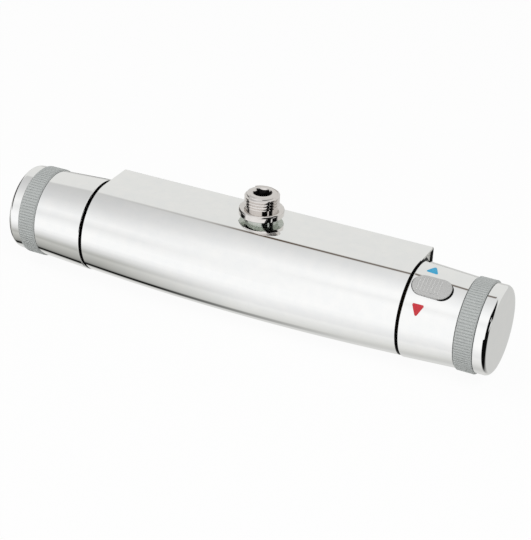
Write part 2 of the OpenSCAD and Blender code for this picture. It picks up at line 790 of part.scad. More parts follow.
// Fine splines that carry a knob's hub, as a ribbed end of a spindle
module spline_end(x0, x1) {
    count = 20;
    crest = spindle_r - run_gap;
    root = crest - 0.35;
    translate([x0, 0, 0]) rotate([90, 0, 90]) linear_extrude(x1 - x0)
        polygon([for (i = [0:count - 1]) for (s = [[-0.3, root], [-0.16, crest], [0.16, crest], [0.3, root]])
            s[1] * [cos((i + s[0]) * 360 / count), sin((i + s[0]) * 360 / count)]]);
}

module temp_spindle() {
    thread_x0 = pusher_x1 - pusher_thread - 2.8;
    color(brass) on_bar() difference() {
        union() {
            rod(thread_x0, cart_end + run_gap, spindle_r - run_gap);
            rod(cart_end + 2 * run_gap, cart_end + collar_t, collar_r);
            rod(cart_end, neck_x, spindle_r);
            spline_end(neck_x - past, stem_x);
        }
        rod(screw_hole_x, stem_x + past, screw_r + run_gap);
    }
}

// Ring fixed on a neck, with the lug that ends the knob's turn from angle a0 to a1
module stop_ring(side, a0, a1) {
    color(white_plastic) on_bar() mirror([side < 0 ? 1 : 0, 0, 0]) {
        tube(stop_ring_x, stop_ring_end, stop_ring_r, neck_r + run_gap);
        ring_sector(stop_lug_x, stop_ring_end, stop_ring_r - 0.4, stop_lug_r, a0, a1);
    }
}

// Plastic hub inside a knob: boss on the splines, disc under the cap and stop finger
module hub(with_tray) {
    boss_r_hub = 7.5;
    difference() {
        union() {
            rod(neck_x + 0.6, hub_disc_x + past, boss_r_hub);
            rod(hub_disc_x, hub_disc_x + hub_disc_t, sleeve_bore_r - slip_gap);
            ring_sector(stop_lug_x - 0.4, hub_disc_x + past, finger_in_r, finger_out_r,
                stop_finger_angle - finger_half_angle, stop_finger_angle + finger_half_angle);
            for (i = [0:3]) if (!with_tray || i != 0)
                at_angle(button_angle + 90 * i)
                    translate([neck_x + 8, -1, boss_r_hub - past]) cube([hub_disc_x - neck_x - 7, 2, 10]);
            if (with_tray) at_angle(button_angle)
                translate([tray_x, -5, tray_z - tray_t]) cube([hub_disc_x - tray_x + past, 10, tray_t]);
        }
        rod(neck_x, stem_x + 0.2, spindle_r + run_gap);
        rod(stem_x, hub_disc_x + hub_disc_t + past, screw_r + slip_gap);
    }
}

// Screw that holds a hub on its spindle
module hub_screw() {
    head_x = hub_disc_x + hub_disc_t;
    difference() {
        union() {
            rod(screw_hole_x + past, head_x + past, screw_r);
            rod(head_x, head_x + 2.4, 3.6);
        }
        at_angle(45) for (a = [0, 90]) at_angle(a)
            translate([head_x + 1.2, -0.45, -2]) cube([2, 0.9, 4]);
    }
}

// Chromed sleeve of a knob, tapering from its lip to the grip ring's seat
module knob_sleeve() {
    lip_land = 1.6;
    chamfer = 0.6;
    seat_r = grip_r - rib_h - 1.45;
    turned([
        [sleeve_bore_r, knob_x],
        [lip_r - chamfer, knob_x],
        [lip_r, knob_x + chamfer],
        [sleeve_radius(knob_x + lip_land), knob_x + lip_land],
        [sleeve_r, grip_x],
        [seat_r, grip_x],
        [seat_r, cap_x],
        [sleeve_bore_r, cap_x]
    ]);
}

module grip_ring() {
    seat_r = grip_r - rib_h - 1.45 + run_gap;
    base_r = grip_r - rib_h;
    gap = 0.25;
    rib = 360 / grip_ribs;
    translate([grip_x + gap, 0, 0]) rotate([90, 0, 90]) linear_extrude(grip_width - 2 * gap) difference() {
        polygon([for (i = [0:grip_ribs - 1])
            for (s = [[-0.3, base_r], [-0.16, grip_r], [0.16, grip_r], [0.3, base_r]])
            s[1] * [cos((i + s[0]) * rib), sin((i + s[0]) * rib)]]);
        circle(seat_r, $fn = 240);
    }
}

// Domed end cap with a skirt that presses into the sleeve
module end_cap() {
    skirt_r = sleeve_bore_r - run_gap;
    difference() {
        union() {
            rotate([0, 90, 0]) rotate_extrude() translate([0, cap_x]) {
                square([cap_r, cap_length - cap_edge_r]);
                square([cap_r - cap_edge_r, cap_length]);
                translate([cap_r - cap_edge_r, cap_length - cap_edge_r]) circle(cap_edge_r);
            }
            rod(cap_x - 6, cap_x + past, skirt_r);
        }
        rod(cap_x - 6 - past, cap_x + cap_length - 2.5, skirt_r - 2);
    }
}

// Stadium block along X, centred on the button, from height z0 to z1
module stadium(length, width, z0, z1) {
    translate([button_x, 0, z0]) {
        for (s = [-1, 1]) translate([s * (length - width) / 2, 0, 0]) cylinder(h = z1 - z0, r = width / 2);
        translate([-(length - width) / 2, -width / 2, 0]) cube([length - width, width, z1 - z0]);
    }
}

// Triangle with round corners that points along +Y, with its middle on y = 0
module rounded_triangle(width, height, r) {
    steps = 6;
    slope = atan2(width / 2, height);
    corners = [
        [width / 2 - r / tan(45 - slope / 2), -height / 2 + r, -90, slope],
        [0, height / 2 - r / sin(slope), slope, 180 - slope],
        [r / tan(45 - slope / 2) - width / 2, -height / 2 + r, 180 - slope, 270]
    ];
    polygon([for (c = corners) for (i = [0:steps])
        let (a = c[2] + (c[3] - c[2]) * i / steps)
        [c[0] + r * cos(a), c[1] + r * sin(a)]]);
}

// A marker's outline as a block through the sleeve, with its base towards the button
module marker_prism(sign) {
    near = button_angle - sign * (sign > 0 ? cold_marker_offset : hot_marker_offset);
    span = marker_height / lip_r * 180 / PI / 2;
    at_angle(near - sign * span) translate([button_x - 4.2, 0, sleeve_bore_r - 4]) linear_extrude(lip_r / 2)
        rotate([0, 0, sign > 0 ? 0 : 180])
            rounded_triangle(marker_width, marker_height, marker_corner_r);
}

module temp_sleeve() {
    color(chrome) on_bar() difference() {
        knob_sleeve();
        at_angle(button_angle) translate([pocket_extra / 2, 0, 0])
            stadium(button_length + 2 * pocket_gap + pocket_extra, button_width + 2 * pocket_gap,
                sleeve_bore_r - button_width, lip_r + button_width);
        for (sign = [-1, 1]) intersection() {
            marker_prism(sign);
            marker_skin(-0.4, past);
        }
    }
}

// Thin cone that follows the sleeve's outside, from low to high over its surface
module marker_skin(low, high) {
    x0 = knob_x + 2;
    x1 = grip_x - 2;
    turned([
        [sleeve_radius(x0) + low, x0], [sleeve_radius(x0) + high, x0],
        [sleeve_radius(x1) + high, x1], [sleeve_radius(x1) + low, x1]
    ]);
}

module cold_marker() {
    color("#2FA6DC") on_bar() intersection() {
        marker_prism(1);
        marker_skin(-0.4, 0.06);
    }
}

module hot_marker() {
    color("#CF2F45") on_bar() intersection() {
        marker_prism(-1);
        marker_skin(-0.4, 0.06);
    }
}

module stop_button() {
    shoulder = 0.9;
    rib_length = 9;
    tab_x = knob_x + 0.9;
    tab_w = 1.5;
    color(button_grey) on_bar() at_angle(button_angle) {
        intersection() {
            union() {
                stadium(button_length, button_width, button_base, button_top_r - shoulder);
                stadium(button_length - 2 * shoulder, button_width - 2 * shoulder,
                    button_base, button_top_r + past);
            }
            rod(knob_x, hub_disc_x, button_top_r);
        }
        intersection() {
            stadium(button_length + 2 * button_skirt, button_width + 2 * button_skirt,
                button_flange_z, sleeve_bore_r);
            rod(knob_x, hub_disc_x, button_flange_r);
        }
        translate([tab_x, -1.5, button_flange_z - 0.3]) cube([tab_w, 3, past]);
        for (i = [0:button_ribs - 1])
            translate([button_rib_x + i * button_rib_pitch, 0, 0]) intersection() {
                rod(-0.35, 0.35, button_top_r + 0.35);
                translate([-past, -rib_length / 2, button_top_r - 2]) cube([2 * past, rib_length, 4]);
            }
    }
}

module button_spring() {
    start = tray_z + run_gap;
    color(steel) on_bar() at_angle(button_angle) translate([button_spring_x, 0, start])
        coil_spring(button_flange_z - start - run_gap, button_spring_r, button_wire_r, 4);
}

module temp_stop_ring() {
    stop_ring(1, stop_finger_angle + temp_hot_deg + finger_half_angle + 0.5,
        stop_finger_angle + temp_cold_deg - finger_half_angle - 0.5 + 360);
}

module flow_stop_ring() {
    stop_ring(-1, stop_finger_angle + flow_open_deg + finger_half_angle + 0.5,
        stop_finger_angle - finger_half_angle - 0.5 + 360);
}

module flow_body() {
    color(white_plastic) on_bar() mirror([1, 0, 0]) difference() {
        union() {
            rod(disc_x, seat_x + past, flow_body_r);
            rod(seat_x + slip_gap, nut_x, cartridge_flange_r);
        }
        rod(disc_x - past, flow_guide_x, disc_r + run_gap);
        rod(disc_x, nut_x + past, spindle_r + run_gap);
        for (i = [0:3]) at_angle(45 + 90 * i)
            translate([flow_outlet_x - 3, -2.5, disc_r - 2]) cube([6, 5, 8]);
        tube(flow_ring_x - 1.1, flow_ring_x + 1.1, flow_body_r + past, flow_r - 2 * flow_ring_cord_r);
        tube(seat_x - 0.5, seat_x + 1.7, spindle_r + 2, spindle_r - past);
    }
}

// Sealing rings of the flow cartridge, with the one round its spindle
module flow_seals() {
    color(black_rubber) on_bar() mirror([1, 0, 0]) {
        sealing_ring(flow_ring_x, flow_r, flow_ring_cord_r);
        sealing_ring(seat_x + 0.6, spindle_r + 2, spindle_cord_r);
    }
}

module flow_base_seal() {
    color(black_rubber) on_bar() mirror([1, 0, 0])
        tube(flow_start, flow_start + base_seal_t, flow_body_r, disc_port_offset + disc_port_r);
}

// Ceramic disc with two ports at angle
module ceramic_disc(x, angle) {
    difference() {
        rod(x, x + disc_t, disc_r);
        for (a = [0, 180]) at_angle(angle + a)
            translate([x - past, 0, disc_port_offset]) rotate([0, 90, 0])
                cylinder(h = disc_t + 2 * past, r = disc_port_r);
    }
}

module fixed_disc() {
    color(ceramic) on_bar() mirror([1, 0, 0]) ceramic_disc(disc_x, 90);
}

module moving_disc() {
    color(ceramic) on_bar() mirror([1, 0, 0]) difference() {
        ceramic_disc(moving_disc_x, 0);
        translate([driver_x - tongue_t - run_gap, -disc_r - past, -tongue_w / 2 - run_gap])
            cube([2 * tongue_t, 2 * disc_r + 2 * past, tongue_w + 2 * run_gap]);
    }
}

module flow_spindle() {
    shoulder_x = flow_guide_x - 3;
    color(brass) on_bar() mirror([1, 0, 0]) difference() {
        union() {
            intersection() {
                translate([driver_x - tongue_t, -disc_r, -tongue_w / 2])
                    cube([tongue_t + driver_t, 2 * disc_r, tongue_w]);
                rod(driver_x - tongue_t, driver_x + driver_t, disc_r - 0.2);
            }
            rod(driver_x + driver_t - past, neck_x, spindle_r);
            rod(shoulder_x, flow_guide_x - run_gap, spindle_r + 2);
            spline_end(neck_x - past, stem_x);
        }
        rod(screw_hole_x, stem_x + past, screw_r + run_gap);
    }
}

cover_shell();
cover_screws();
body_casting();
outlet_nipple();
outlet_seal();
inlet_tail(-1);  // inlet_tail_hot
inlet_tail(1);  // inlet_tail_cold
inlet_washer(-1);  // inlet_washer_hot
inlet_washer(1);  // inlet_washer_cold
inlet_filter(-1);  // inlet_filter_hot
inlet_filter(1);  // inlet_filter_cold
check_valve(-1);  // check_valve_hot
check_valve(1);  // check_valve_cold
check_poppet(-1);  // check_poppet_hot
check_poppet(1);  // check_poppet_cold
check_spring(-1);  // check_spring_hot
check_spring(1);  // check_spring_cold
union_nut(-1);  // union_nut_hot
union_nut(1);  // union_nut_cold
cartridge_sleeve();
cartridge_head();
cartridge_seals();
ring_nut(1);  // cartridge_nut
shuttle();
wax_element();
return_spring();
thrust_button();
overload_spring();
pusher();
temp_spindle();
temp_stop_ring();
color(white_plastic) on_bar() hub(true);  // temp_hub
color(steel) on_bar() hub_screw();  // temp_hub_screw
temp_sleeve();
color(grip_grey) on_bar() grip_ring();  // temp_grip_ring
color(chrome) on_bar() end_cap();  // temp_end_cap
cold_marker();
hot_marker();
stop_button();
button_spring();
flow_body();
flow_seals();
flow_base_seal();
fixed_disc();
moving_disc();
ring_nut(-1);  // flow_nut
flow_spindle();
flow_stop_ring();
color(white_plastic) on_bar() mirror([1, 0, 0]) hub(false);  // flow_hub
color(steel) on_bar() mirror([1, 0, 0]) hub_screw();  // flow_hub_screw
color(chrome) on_bar() mirror([1, 0, 0]) knob_sleeve();  // flow_sleeve
color(grip_grey) on_bar() mirror([1, 0, 0]) grip_ring();  // flow_grip_ring
color(chrome) on_bar() mirror([1, 0, 0]) end_cap();  // flow_end_cap
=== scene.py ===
# Looks of a thermostatic bar valve: bright chrome, ribbed grey grips, a stop button with
# a blue and a red marker, in a white photographic tent.
import json
import math

import bpy
import numpy as np
from mathutils import Matrix, Vector


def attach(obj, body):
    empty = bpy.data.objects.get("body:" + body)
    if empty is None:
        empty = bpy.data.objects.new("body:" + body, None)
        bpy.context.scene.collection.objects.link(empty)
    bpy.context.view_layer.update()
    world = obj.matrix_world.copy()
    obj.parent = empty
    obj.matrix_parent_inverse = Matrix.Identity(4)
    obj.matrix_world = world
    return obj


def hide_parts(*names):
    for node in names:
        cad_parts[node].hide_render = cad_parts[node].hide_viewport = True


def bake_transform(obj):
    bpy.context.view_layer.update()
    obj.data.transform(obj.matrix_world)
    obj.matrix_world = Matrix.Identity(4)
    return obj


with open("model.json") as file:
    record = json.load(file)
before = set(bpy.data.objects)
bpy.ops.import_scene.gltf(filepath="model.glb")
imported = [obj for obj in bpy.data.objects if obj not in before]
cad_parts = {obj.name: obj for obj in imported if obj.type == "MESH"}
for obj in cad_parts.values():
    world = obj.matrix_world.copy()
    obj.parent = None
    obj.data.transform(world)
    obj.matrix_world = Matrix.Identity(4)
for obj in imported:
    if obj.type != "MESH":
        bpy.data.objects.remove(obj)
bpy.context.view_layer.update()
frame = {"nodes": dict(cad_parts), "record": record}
NODES = frame["nodes"]
MM = 0.001
# Faces that meet at a wider angle than this, in degrees, meet in a sharp line
SHARP = 30

# ------------------------------------------------------------------ sizes, in millimetres
# The bar's axis lies this far in front of the plane where the inlets seal
BAR_Y = -40.0

# Cover: a round front, a flat shelf on top and a flat back
SHELF_Z = 28.0
BACK_Y = 27.0
COVER_END_X = 102.4
COVER_BULGE = 1.5
COVER_WALL = 2.0
COVER_EDGE = 2.4
COVER_RIM = 0.35
END_RECESS = 1.2
NECK_HOLE_R = 16.8
# The end walls carry the knobs' painted shade up to here
SHADOW_R = 30.5
# The rear rim's end faces are painted dark as shade from here to the wall
REAR_RIM_Y = 25.2
INLET_X = 75.0
INLET_HOLE_R = 13.8
SCREW_X = 40.0
SCREW_Z = -3.0
SCREW_HOLE_R = 2.25

# Knobs: sleeve, grip ring and end cap, with this much room between two that fit together
FIT = 0.05
KNOB_X = 104.0
GRIP_X = 136.3
CAP_X = 147.7
END_X = 155.5
LIP_R = 28.5
SLEEVE_R = 26.7
SLEEVE_BORE_R = 23.8
GRIP_SEAT_R = 25.6
GRIP_R = 27.5
GRIP_GAP = 0.3
RIB_HEIGHT = 0.38
RIB_WIDTH = 1.32
RIB_INSET = 0.5
CAP_R = 26.4
CAP_EDGE = 3.0

# Stop button, the slot that it stands in, and the two triangles beside it
BUTTON_X = 117.0
BUTTON_ANGLE = 30.0
BUTTON_TOP_R = 29.4
BUTTON_LENGTH = 23.4
BUTTON_WIDTH = 13.2
BUTTON_EDGE = 0.8
SLOT_LENGTH = 24.5
SLOT_WIDTH = 13.3
SLOT_X = BUTTON_X + 0.15
MARKER_X = BUTTON_X - 4.2
MARKER_WIDTH = 7.6
MARKER_HEIGHT = 7.8
MARKER_CORNER = 0.8

# Outlet nipple and its G 1/2 thread
NIPPLE_Y = 8.3
NIPPLE_HOLE_R = 10.35
THREAD_Z = 36.0
THREAD_TURNS = 4.4
THREAD_PITCH = 1.814
THREAD_R = 10.4775
ROOT_R = 9.316

# The union nuts' inner thread, its height measured from the bar's axis
UNION_CREST_R = 12.14
UNION_ROOT_R = 12.9
UNION_LOW = 41.2
UNION_TURNS = 3


def linear(code):
    """sRGB hex to a linear RGBA value."""
    rgb = [int(code[i:i + 2], 16) / 255 for i in (1, 3, 5)]
    return (*(c / 12.92 if c <= 0.04045 else ((c + 0.055) / 1.055) ** 2.4 for c in rgb), 1.0)


def add(tree, kind, settings=None, links=None):
    """Adds a node: settings are ramp stops, inputs by name or number, or else properties.

    A link comes from a socket, or from a node's first output.
    """
    node = tree.nodes.new(kind)
    for key, value in (settings or {}).items():
        if key == "stops":
            stops = sorted(value)
            node.color_ramp.elements.remove(node.color_ramp.elements[-1])
            node.color_ramp.elements[0].position = stops[0][0]
            node.color_ramp.elements[0].color = linear(stops[0][1])
            for at, code in stops[1:]:
                node.color_ramp.elements.new(at).color = linear(code)
        elif isinstance(key, int) or key in node.inputs:
            node.inputs[key].default_value = value
        else:
            setattr(node, key, value)
    for key, source in (links or {}).items():
        if isinstance(source, bpy.types.Node):
            source = source.outputs[0]
        tree.links.new(source, node.inputs[key])
    return node


def empty_tree(owner):
    """The node tree of a new material or world, with no node in it."""
    owner.use_nodes = True
    owner.node_tree.nodes.clear()
    return owner.node_tree


# ------------------------------------------------------------------ materials
def surface(name, settings, scale, rough, relief, depth, colours, stretch=(1, 1, 1)):
    """A material: one noise, scale in cycles per metre, varies its roughness, relief and colour."""
    mat = bpy.data.materials.new(name)
    tree = empty_tree(mat)
    place = add(tree, "ShaderNodeTexCoord").outputs["Object"]
    spread = add(tree, "ShaderNodeMapping", {"Scale": stretch}, {"Vector": place})
    noise = add(tree, "ShaderNodeTexNoise", {"Scale": scale, "Detail": 3},
                {"Vector": spread}).outputs["Fac"]
    wear = add(tree, "ShaderNodeMapRange", {"To Min": rough[0], "To Max": rough[1]},
               {"Value": noise})
    bump = add(tree, "ShaderNodeBump", {"Strength": relief, "Distance": depth}, {"Height": noise})
    tint = add(tree, "ShaderNodeValToRGB", {"stops": [(0.3, colours[0]), (0.7, colours[1])]},
               {"Fac": noise})
    shader = add(tree, "ShaderNodeBsdfPrincipled", settings, {
        "Roughness": wear, "Normal": bump, "Base Color": tint,
    })
    add(tree, "ShaderNodeOutputMaterial", links={"Surface": shader})
    return mat


METAL = {"Metallic": 1.0}
ACETAL_GLOSS = {"IOR": 1.48}
ENAMEL_GLOSS = {"IOR": 1.5, "Coat Weight": 0.2, "Coat Roughness": 0.08}

# Bright chrome on polished brass: a clean mirror with the faintest orange peel
CHROME = surface("bright_chrome_plate", METAL, 160, (0.025, 0.04), 0.002, 0.0002,
                 ("#F7F8F8", "#FBFBFA"))
# Painted shade: a greyer, softer nickel mirror on the outlet below its flange, where shade falls
SHADE_NICKEL = surface("painted_shade_nickel", METAL, 600, (0.1, 0.16), 0.01, 0.00005,
                 ("#BCC1BA", "#CACEC7"), (1, 1, 6))
# Polished nickel of the outlet: as clear a mirror as the cover, but greyer and warmer
POLISHED = surface("polished_nickel", METAL, 400, (0.05, 0.09), 0.004, 0.0001,
                   ("#DEDAD7", "#E6E2DF"))
# Cast end wall, blasted and plated: a pale matt grey
SATIN = surface("blasted_chrome", {"Metallic": 0.0, "IOR": 1.6}, 1200, (0.5, 0.6), 0.02, 0.00005,
                ("#D2D2CD", "#DADAD5"))
# Painted shade: a near-black, dull metal put in the outlet's socket, in the gaps behind the knobs
# and on the button's foot, where shade falls; it swallows the light
PAINTED_SHADE = surface("painted_shade_black", {"Metallic": 0.6}, 900, (0.45, 0.6), 0.1, 0.0001,
               ("#0B0B0C", "#1B1A1A"))
# Moulded soft-touch polymer in satin grey, a little dusty between its ribs
GRIP = surface("moulded_grey_grip", {"IOR": 1.5}, 1400, (0.42, 0.58), 0.02, 0.00005,
               ("#B4B8B7", "#C0C3C2"))
# Moulded acetal with a fine spark-eroded grain: satin and light grey
BUTTON = surface("satin_acetal_button", ACETAL_GLOSS, 2600, (0.38, 0.5), 0.015, 0.00003,
                 ("#BABAB9", "#C2C2C1"))
# The same acetal on the ribs, painted paler as a highlight on their crests
RIB_HIGHLIGHT = surface("acetal_ribs_painted_highlight", ACETAL_GLOSS, 2600, (0.38, 0.5), 0.015, 0.00003,
                 ("#C9C9C8", "#D1D1D0"))
# Stove enamel filled into the sleeve: even colour under a clear, slightly domed gloss
BLUE = surface("blue_enamel", ENAMEL_GLOSS, 700, (0.25, 0.35), 0.03, 0.00005,
               ("#1AA0CE", "#26ACDA"))
RED = surface("red_enamel", ENAMEL_GLOSS, 700, (0.25, 0.35), 0.03, 0.00005,
              ("#C11F2C", "#CC2835"))
# Machined brass: warm, with the lathe's fine circles as streaks along the cut
BRASS = surface("turned_brass", METAL, 500, (0.22, 0.36), 0.12, 0.00005,
                ("#B8934A", "#D0AE66"), (1, 6, 1))
# Cold-drawn stainless steel: cool grey with a fine drawn grain
STEEL = surface("drawn_stainless", METAL, 900, (0.25, 0.4), 0.15, 0.00004,
                ("#A9ADB0", "#C3C6C8"), (6, 1, 1))
# Nitrile rubber from a polished mould: near black, dull, with a little bloom
RUBBER = surface("nitrile_rubber", {"IOR": 1.52}, 800, (0.55, 0.75), 0.1, 0.0001,
                 ("#1D1D1F", "#2B2B2D"))
# Injection-moulded acetal: off-white, waxy
ACETAL = surface("white_acetal", ACETAL_GLOSS, 1100, (0.35, 0.5), 0.08, 0.00005,
                 ("#E4E3DC", "#EFEEE8"))
# The check valves' poppets are dyed so that they are told from their bodies
BLUE_ACETAL = surface("blue_acetal", ACETAL_GLOSS, 1100, (0.35, 0.5), 0.08, 0.00005,
                      ("#44709F", "#5586B8"))
# Lapped alumina: ivory, very smooth
CERAMIC = surface("lapped_alumina", {"IOR": 1.76}, 1500, (0.12, 0.2), 0.02, 0.00002,
                  ("#EDE9DD", "#F5F2E9"))

SLOT_FINISH = {
    "chrome": CHROME, "brass": BRASS, "steel": STEEL, "rubber": RUBBER, "white_plastic": ACETAL,
    "poppet_plastic": BLUE_ACETAL, "ceramic": CERAMIC, "grip": GRIP, "button": BUTTON,
    "blue": BLUE, "red": RED,
}
for entry in frame["record"]["subparts"]:
    node = NODES[entry["node"]]
    node.data.materials.clear()
    node.data.materials.append(SLOT_FINISH[entry["material_slot"]])


# ------------------------------------------------------------------ meshes
def bar_frame(side):
    """Local +Z along the bar towards one end, local +X down, origin on the bar's axis."""
    turn = Matrix(((0, 0, side), (0, side, 0), (-1, 0, 0)))
    return Matrix.Translation((0, BAR_Y * MM, 0)) @ turn.to_4x4()


def leaning_frame(angle=0.0):
    """Local X along the bar's axis, local Z out of the bar, leaning forwards from the top."""
    return Matrix.Translation((0, BAR_Y * MM, 0)) @ Matrix.Rotation(math.radians(angle), 4, "X")


def nipple_frame():
    """Local +Z up the outlet's axis, height measured from the bar's axis."""
    return Matrix.Translation((0, (BAR_Y + NIPPLE_Y) * MM, 0))


def wall_frame(x, z=0.0):
    """Local +Z towards the wall at (x, z), height measured from the bar's axis."""
    turn = Matrix.Rotation(math.radians(-90), 4, "X")
    return Matrix.Translation((x * MM, BAR_Y * MM, z * MM)) @ turn


def piece(name, points, faces, place, finishes, sharp=SHARP):
    """A mesh object with its place in its mesh, points in millimetres in the place's own frame."""
    at = np.array(points, float) * MM
    m = np.array(place)
    at = at @ m[:3, :3].T + m[:3, 3]
    mesh = bpy.data.meshes.new(name)
    mesh.from_pydata(at.tolist(), [], faces)
    for finish in finishes:
        mesh.materials.append(finish)
    mesh.shade_smooth()
    mesh.set_sharp_from_angle(angle=math.radians(sharp))
    obj = bpy.data.objects.new(name, mesh)
    bpy.context.scene.collection.objects.link(obj)
    return obj


def arc(cr, ch, radius, start, end, steps):
    """Points of an arc in a profile plane, ends included."""
    angles = [math.radians(start + (end - start) * i / steps) for i in range(steps + 1)]
    return [(cr + radius * math.cos(a), ch + radius * math.sin(a)) for a in angles]


def circle(r, steps=96, start=0.0):
    """Outline of a circle, or of a regular shape with few steps, from a start in radians."""
    angles = [start + 2 * math.pi * i / steps for i in range(steps)]
    return [(r * math.cos(a), r * math.sin(a)) for a in angles]


def stadium(length, width):
    """Outline of a slot with round ends, anticlockwise from its lower right."""
    half, r, steps = (length - width) / 2, width / 2, 24
    return arc(half, 0, r, -90, 90, steps) + arc(-half, 0, r, 90, 270, steps)


def belt(low, high):
    """Faces between two closed rows of point numbers: quads, or triangles where a row is a pole."""
    n = len(low)
    quads = [[low[i], low[(i + 1) % n], high[(i + 1) % n], high[i]] for i in range(n)]
    return [list(dict.fromkeys(quad)) for quad in quads]


def loft(rings):
    """Points of equal rings, the row of numbers of each, and the faces from each to the next."""
    n = len(rings[0])
    rows = [list(range(j * n, (j + 1) * n)) for j in range(len(rings))]
    faces = [face for low, high in zip(rows, rows[1:]) for face in belt(low, high)]
    return [point for ring in rings for point in ring], rows, faces


def prism(outline, low, high, place):
    """A straight block over a closed outline, for cutting."""
    points, rows, faces = loft([[(x, y, level) for x, y in outline] for level in (low, high)])
    return piece("tool", points, faces + [rows[0][::-1], rows[1]], place, [PAINTED_SHADE])


def turned(name, profile, place, finishes, count=256):
    """Turns a closed profile of (radius, height), anticlockwise, round the place's Z."""
    points, rows = [], []
    for r, h in profile:
        if r < 1e-6:
            rows.append([len(points)] * count)
            points.append((0, 0, h))
            continue
        rows.append(list(range(len(points), len(points) + count)))
        points += [(x, y, h) for x, y in circle(r, count)]
    faces = []
    for low, high in zip(rows, rows[1:] + rows[:1]):
        if low[0] != low[1] or high[0] != high[1]:
            faces += belt(low, high)
    obj = piece(name, points, faces, place, finishes)
    true_normals(obj, turned_surfaces(profile, place))
    return obj


def turned_surfaces(profile, place):
    """For each side of a turned profile, a test that gives each point's distance and normal."""
    p = np.array(profile, float)
    d = np.roll(p, -1, 0) - p
    size = np.maximum(np.linalg.norm(d, axis=1), 1e-9)
    flat = np.stack([d[:, 1], -d[:, 0]], 1) / size[:, None]
    first, last = flat.copy(), flat.copy()
    for i in range(len(p)):
        j = (i + 1) % len(p)
        if np.dot(flat[i], flat[j]) > math.cos(math.radians(SHARP)):
            mean = flat[i] * size[i] ** 3 + flat[j] * size[j] ** 3
            last[i] = first[j] = mean / np.linalg.norm(mean)
    m = np.array(place)
    back = np.linalg.inv(m)

    def side(i):
        def test(co):
            q = co @ back[:3, :3].T + back[:3, 3]
            r = np.hypot(q[:, 0], q[:, 1])
            rel = np.stack([r, q[:, 2]], 1) / MM - p[i]
            t = rel @ d[i] / size[i] ** 2
            off = np.abs(rel @ flat[i])
            off[(t < -0.01) | (t > 1.01)] = 1e9
            t = np.clip(t, 0, 1)[:, None]
            n2 = first[i] * (1 - t) + last[i] * t
            n2 /= np.linalg.norm(n2, axis=1)[:, None]
            safe = np.maximum(r, 1e-9)
            n3 = np.stack([q[:, 0] / safe * n2[:, 0], q[:, 1] / safe * n2[:, 0], n2[:, 1]], 1)
            return off * MM, n3 @ m[:3, :3].T
        return test
    return [side(i) for i in range(len(p)) if size[i] > 1e-6]


def read(items, name, kind=float):
    """One value of each of a mesh's items, or one vector of each, as an array."""
    width = 3 if kind is float else 1
    values = np.empty(len(items) * width, kind)
    items.foreach_get(name, values)
    return values.reshape(-1, 3) if width == 3 else values


def true_normals(obj, surfaces):
    """Faces that lie on a known surface take its own normals, so that chrome mirrors no facets."""
    near = 0.004 * MM
    mesh = obj.data
    mesh.update()
    co = read(mesh.vertices, "co")
    corner = read(mesh.corner_normals, "vector")
    vertex = read(mesh.loops, "vertex_index", int)
    start = read(mesh.polygons, "loop_start", int)
    total = read(mesh.polygons, "loop_total", int)
    face = read(mesh.polygons, "normal")
    owner = np.repeat(np.arange(len(total)), total)
    for test in surfaces:
        off, normal = test(co)
        on = (off < near)[vertex]
        agree = np.einsum("ij,ij->i", normal[vertex], face[owner]) > 0.9
        whole = np.logical_and.reduceat(on & agree, start)
        pick = whole[owner]
        corner[pick] = normal[vertex][pick]
    corner /= np.maximum(np.linalg.norm(corner, axis=1), 1e-9)[:, None]
    mesh.normals_split_custom_set(corner.tolist())


def apply_modifiers(obj):
    """Turns an object's modifiers into a plain mesh."""
    graph = bpy.context.evaluated_depsgraph_get()
    graph.update()
    mesh = bpy.data.meshes.new_from_object(obj.evaluated_get(graph), depsgraph=graph)
    obj.modifiers.clear()
    old = obj.data
    obj.data = mesh
    bpy.data.meshes.remove(old)


def cut(obj, tools):
    """Takes the tools' solids out of an object."""
    for tool in tools:
        mod = obj.modifiers.new("cut", "BOOLEAN")
        mod.operation = "DIFFERENCE"
        mod.solver = "EXACT"
        mod.object = tool
        apply_modifiers(obj)
        bpy.data.objects.remove(tool)
    obj.data.shade_smooth()
    obj.data.set_sharp_from_angle(angle=math.radians(SHARP))


def refinish(obj, finish, test):
    """Gives a finish to faces whose middle, in millimetres from the bar's axis, passes the test."""
    obj.data.materials.append(finish)
    slot = len(obj.data.materials) - 1
    for poly in obj.data.polygons:
        c = poly.center / MM
        if test(abs(c.x), c.y - BAR_Y, c.z, poly.normal):
            poly.material_index = slot


# ------------------------------------------------------------------ cover
def cover_r(x):
    """Radius of the cover's round front, which bulges at mid length."""
    return SHELF_Z + COVER_BULGE * (1 - (x / COVER_END_X) ** 2)


def cover_outline(x, inset):
    """The cover's section, anticlockwise seen from its right end, moved inwards by inset."""
    front_steps, edge_steps, flat_steps = 150, 8, 12
    r = cover_r(x) - inset
    mid = SHELF_Z - cover_r(x)
    back, top = BACK_Y - inset, SHELF_Z - inset
    edge = max(COVER_EDGE - inset, 0.1)
    sweep = 180 + math.degrees(math.asin(back / r))
    out = arc(0, mid, r, 90, 90 + sweep, front_steps)
    foot = out[-1][1]
    for i in range(1, flat_steps):
        out.append((back, foot + (top - edge - foot) * i / flat_steps))
    out += arc(back - edge, top - edge, edge, 0, 90, edge_steps)
    for i in range(1, flat_steps):
        out.append(((back - edge) * (1 - i / flat_steps), top))
    return out


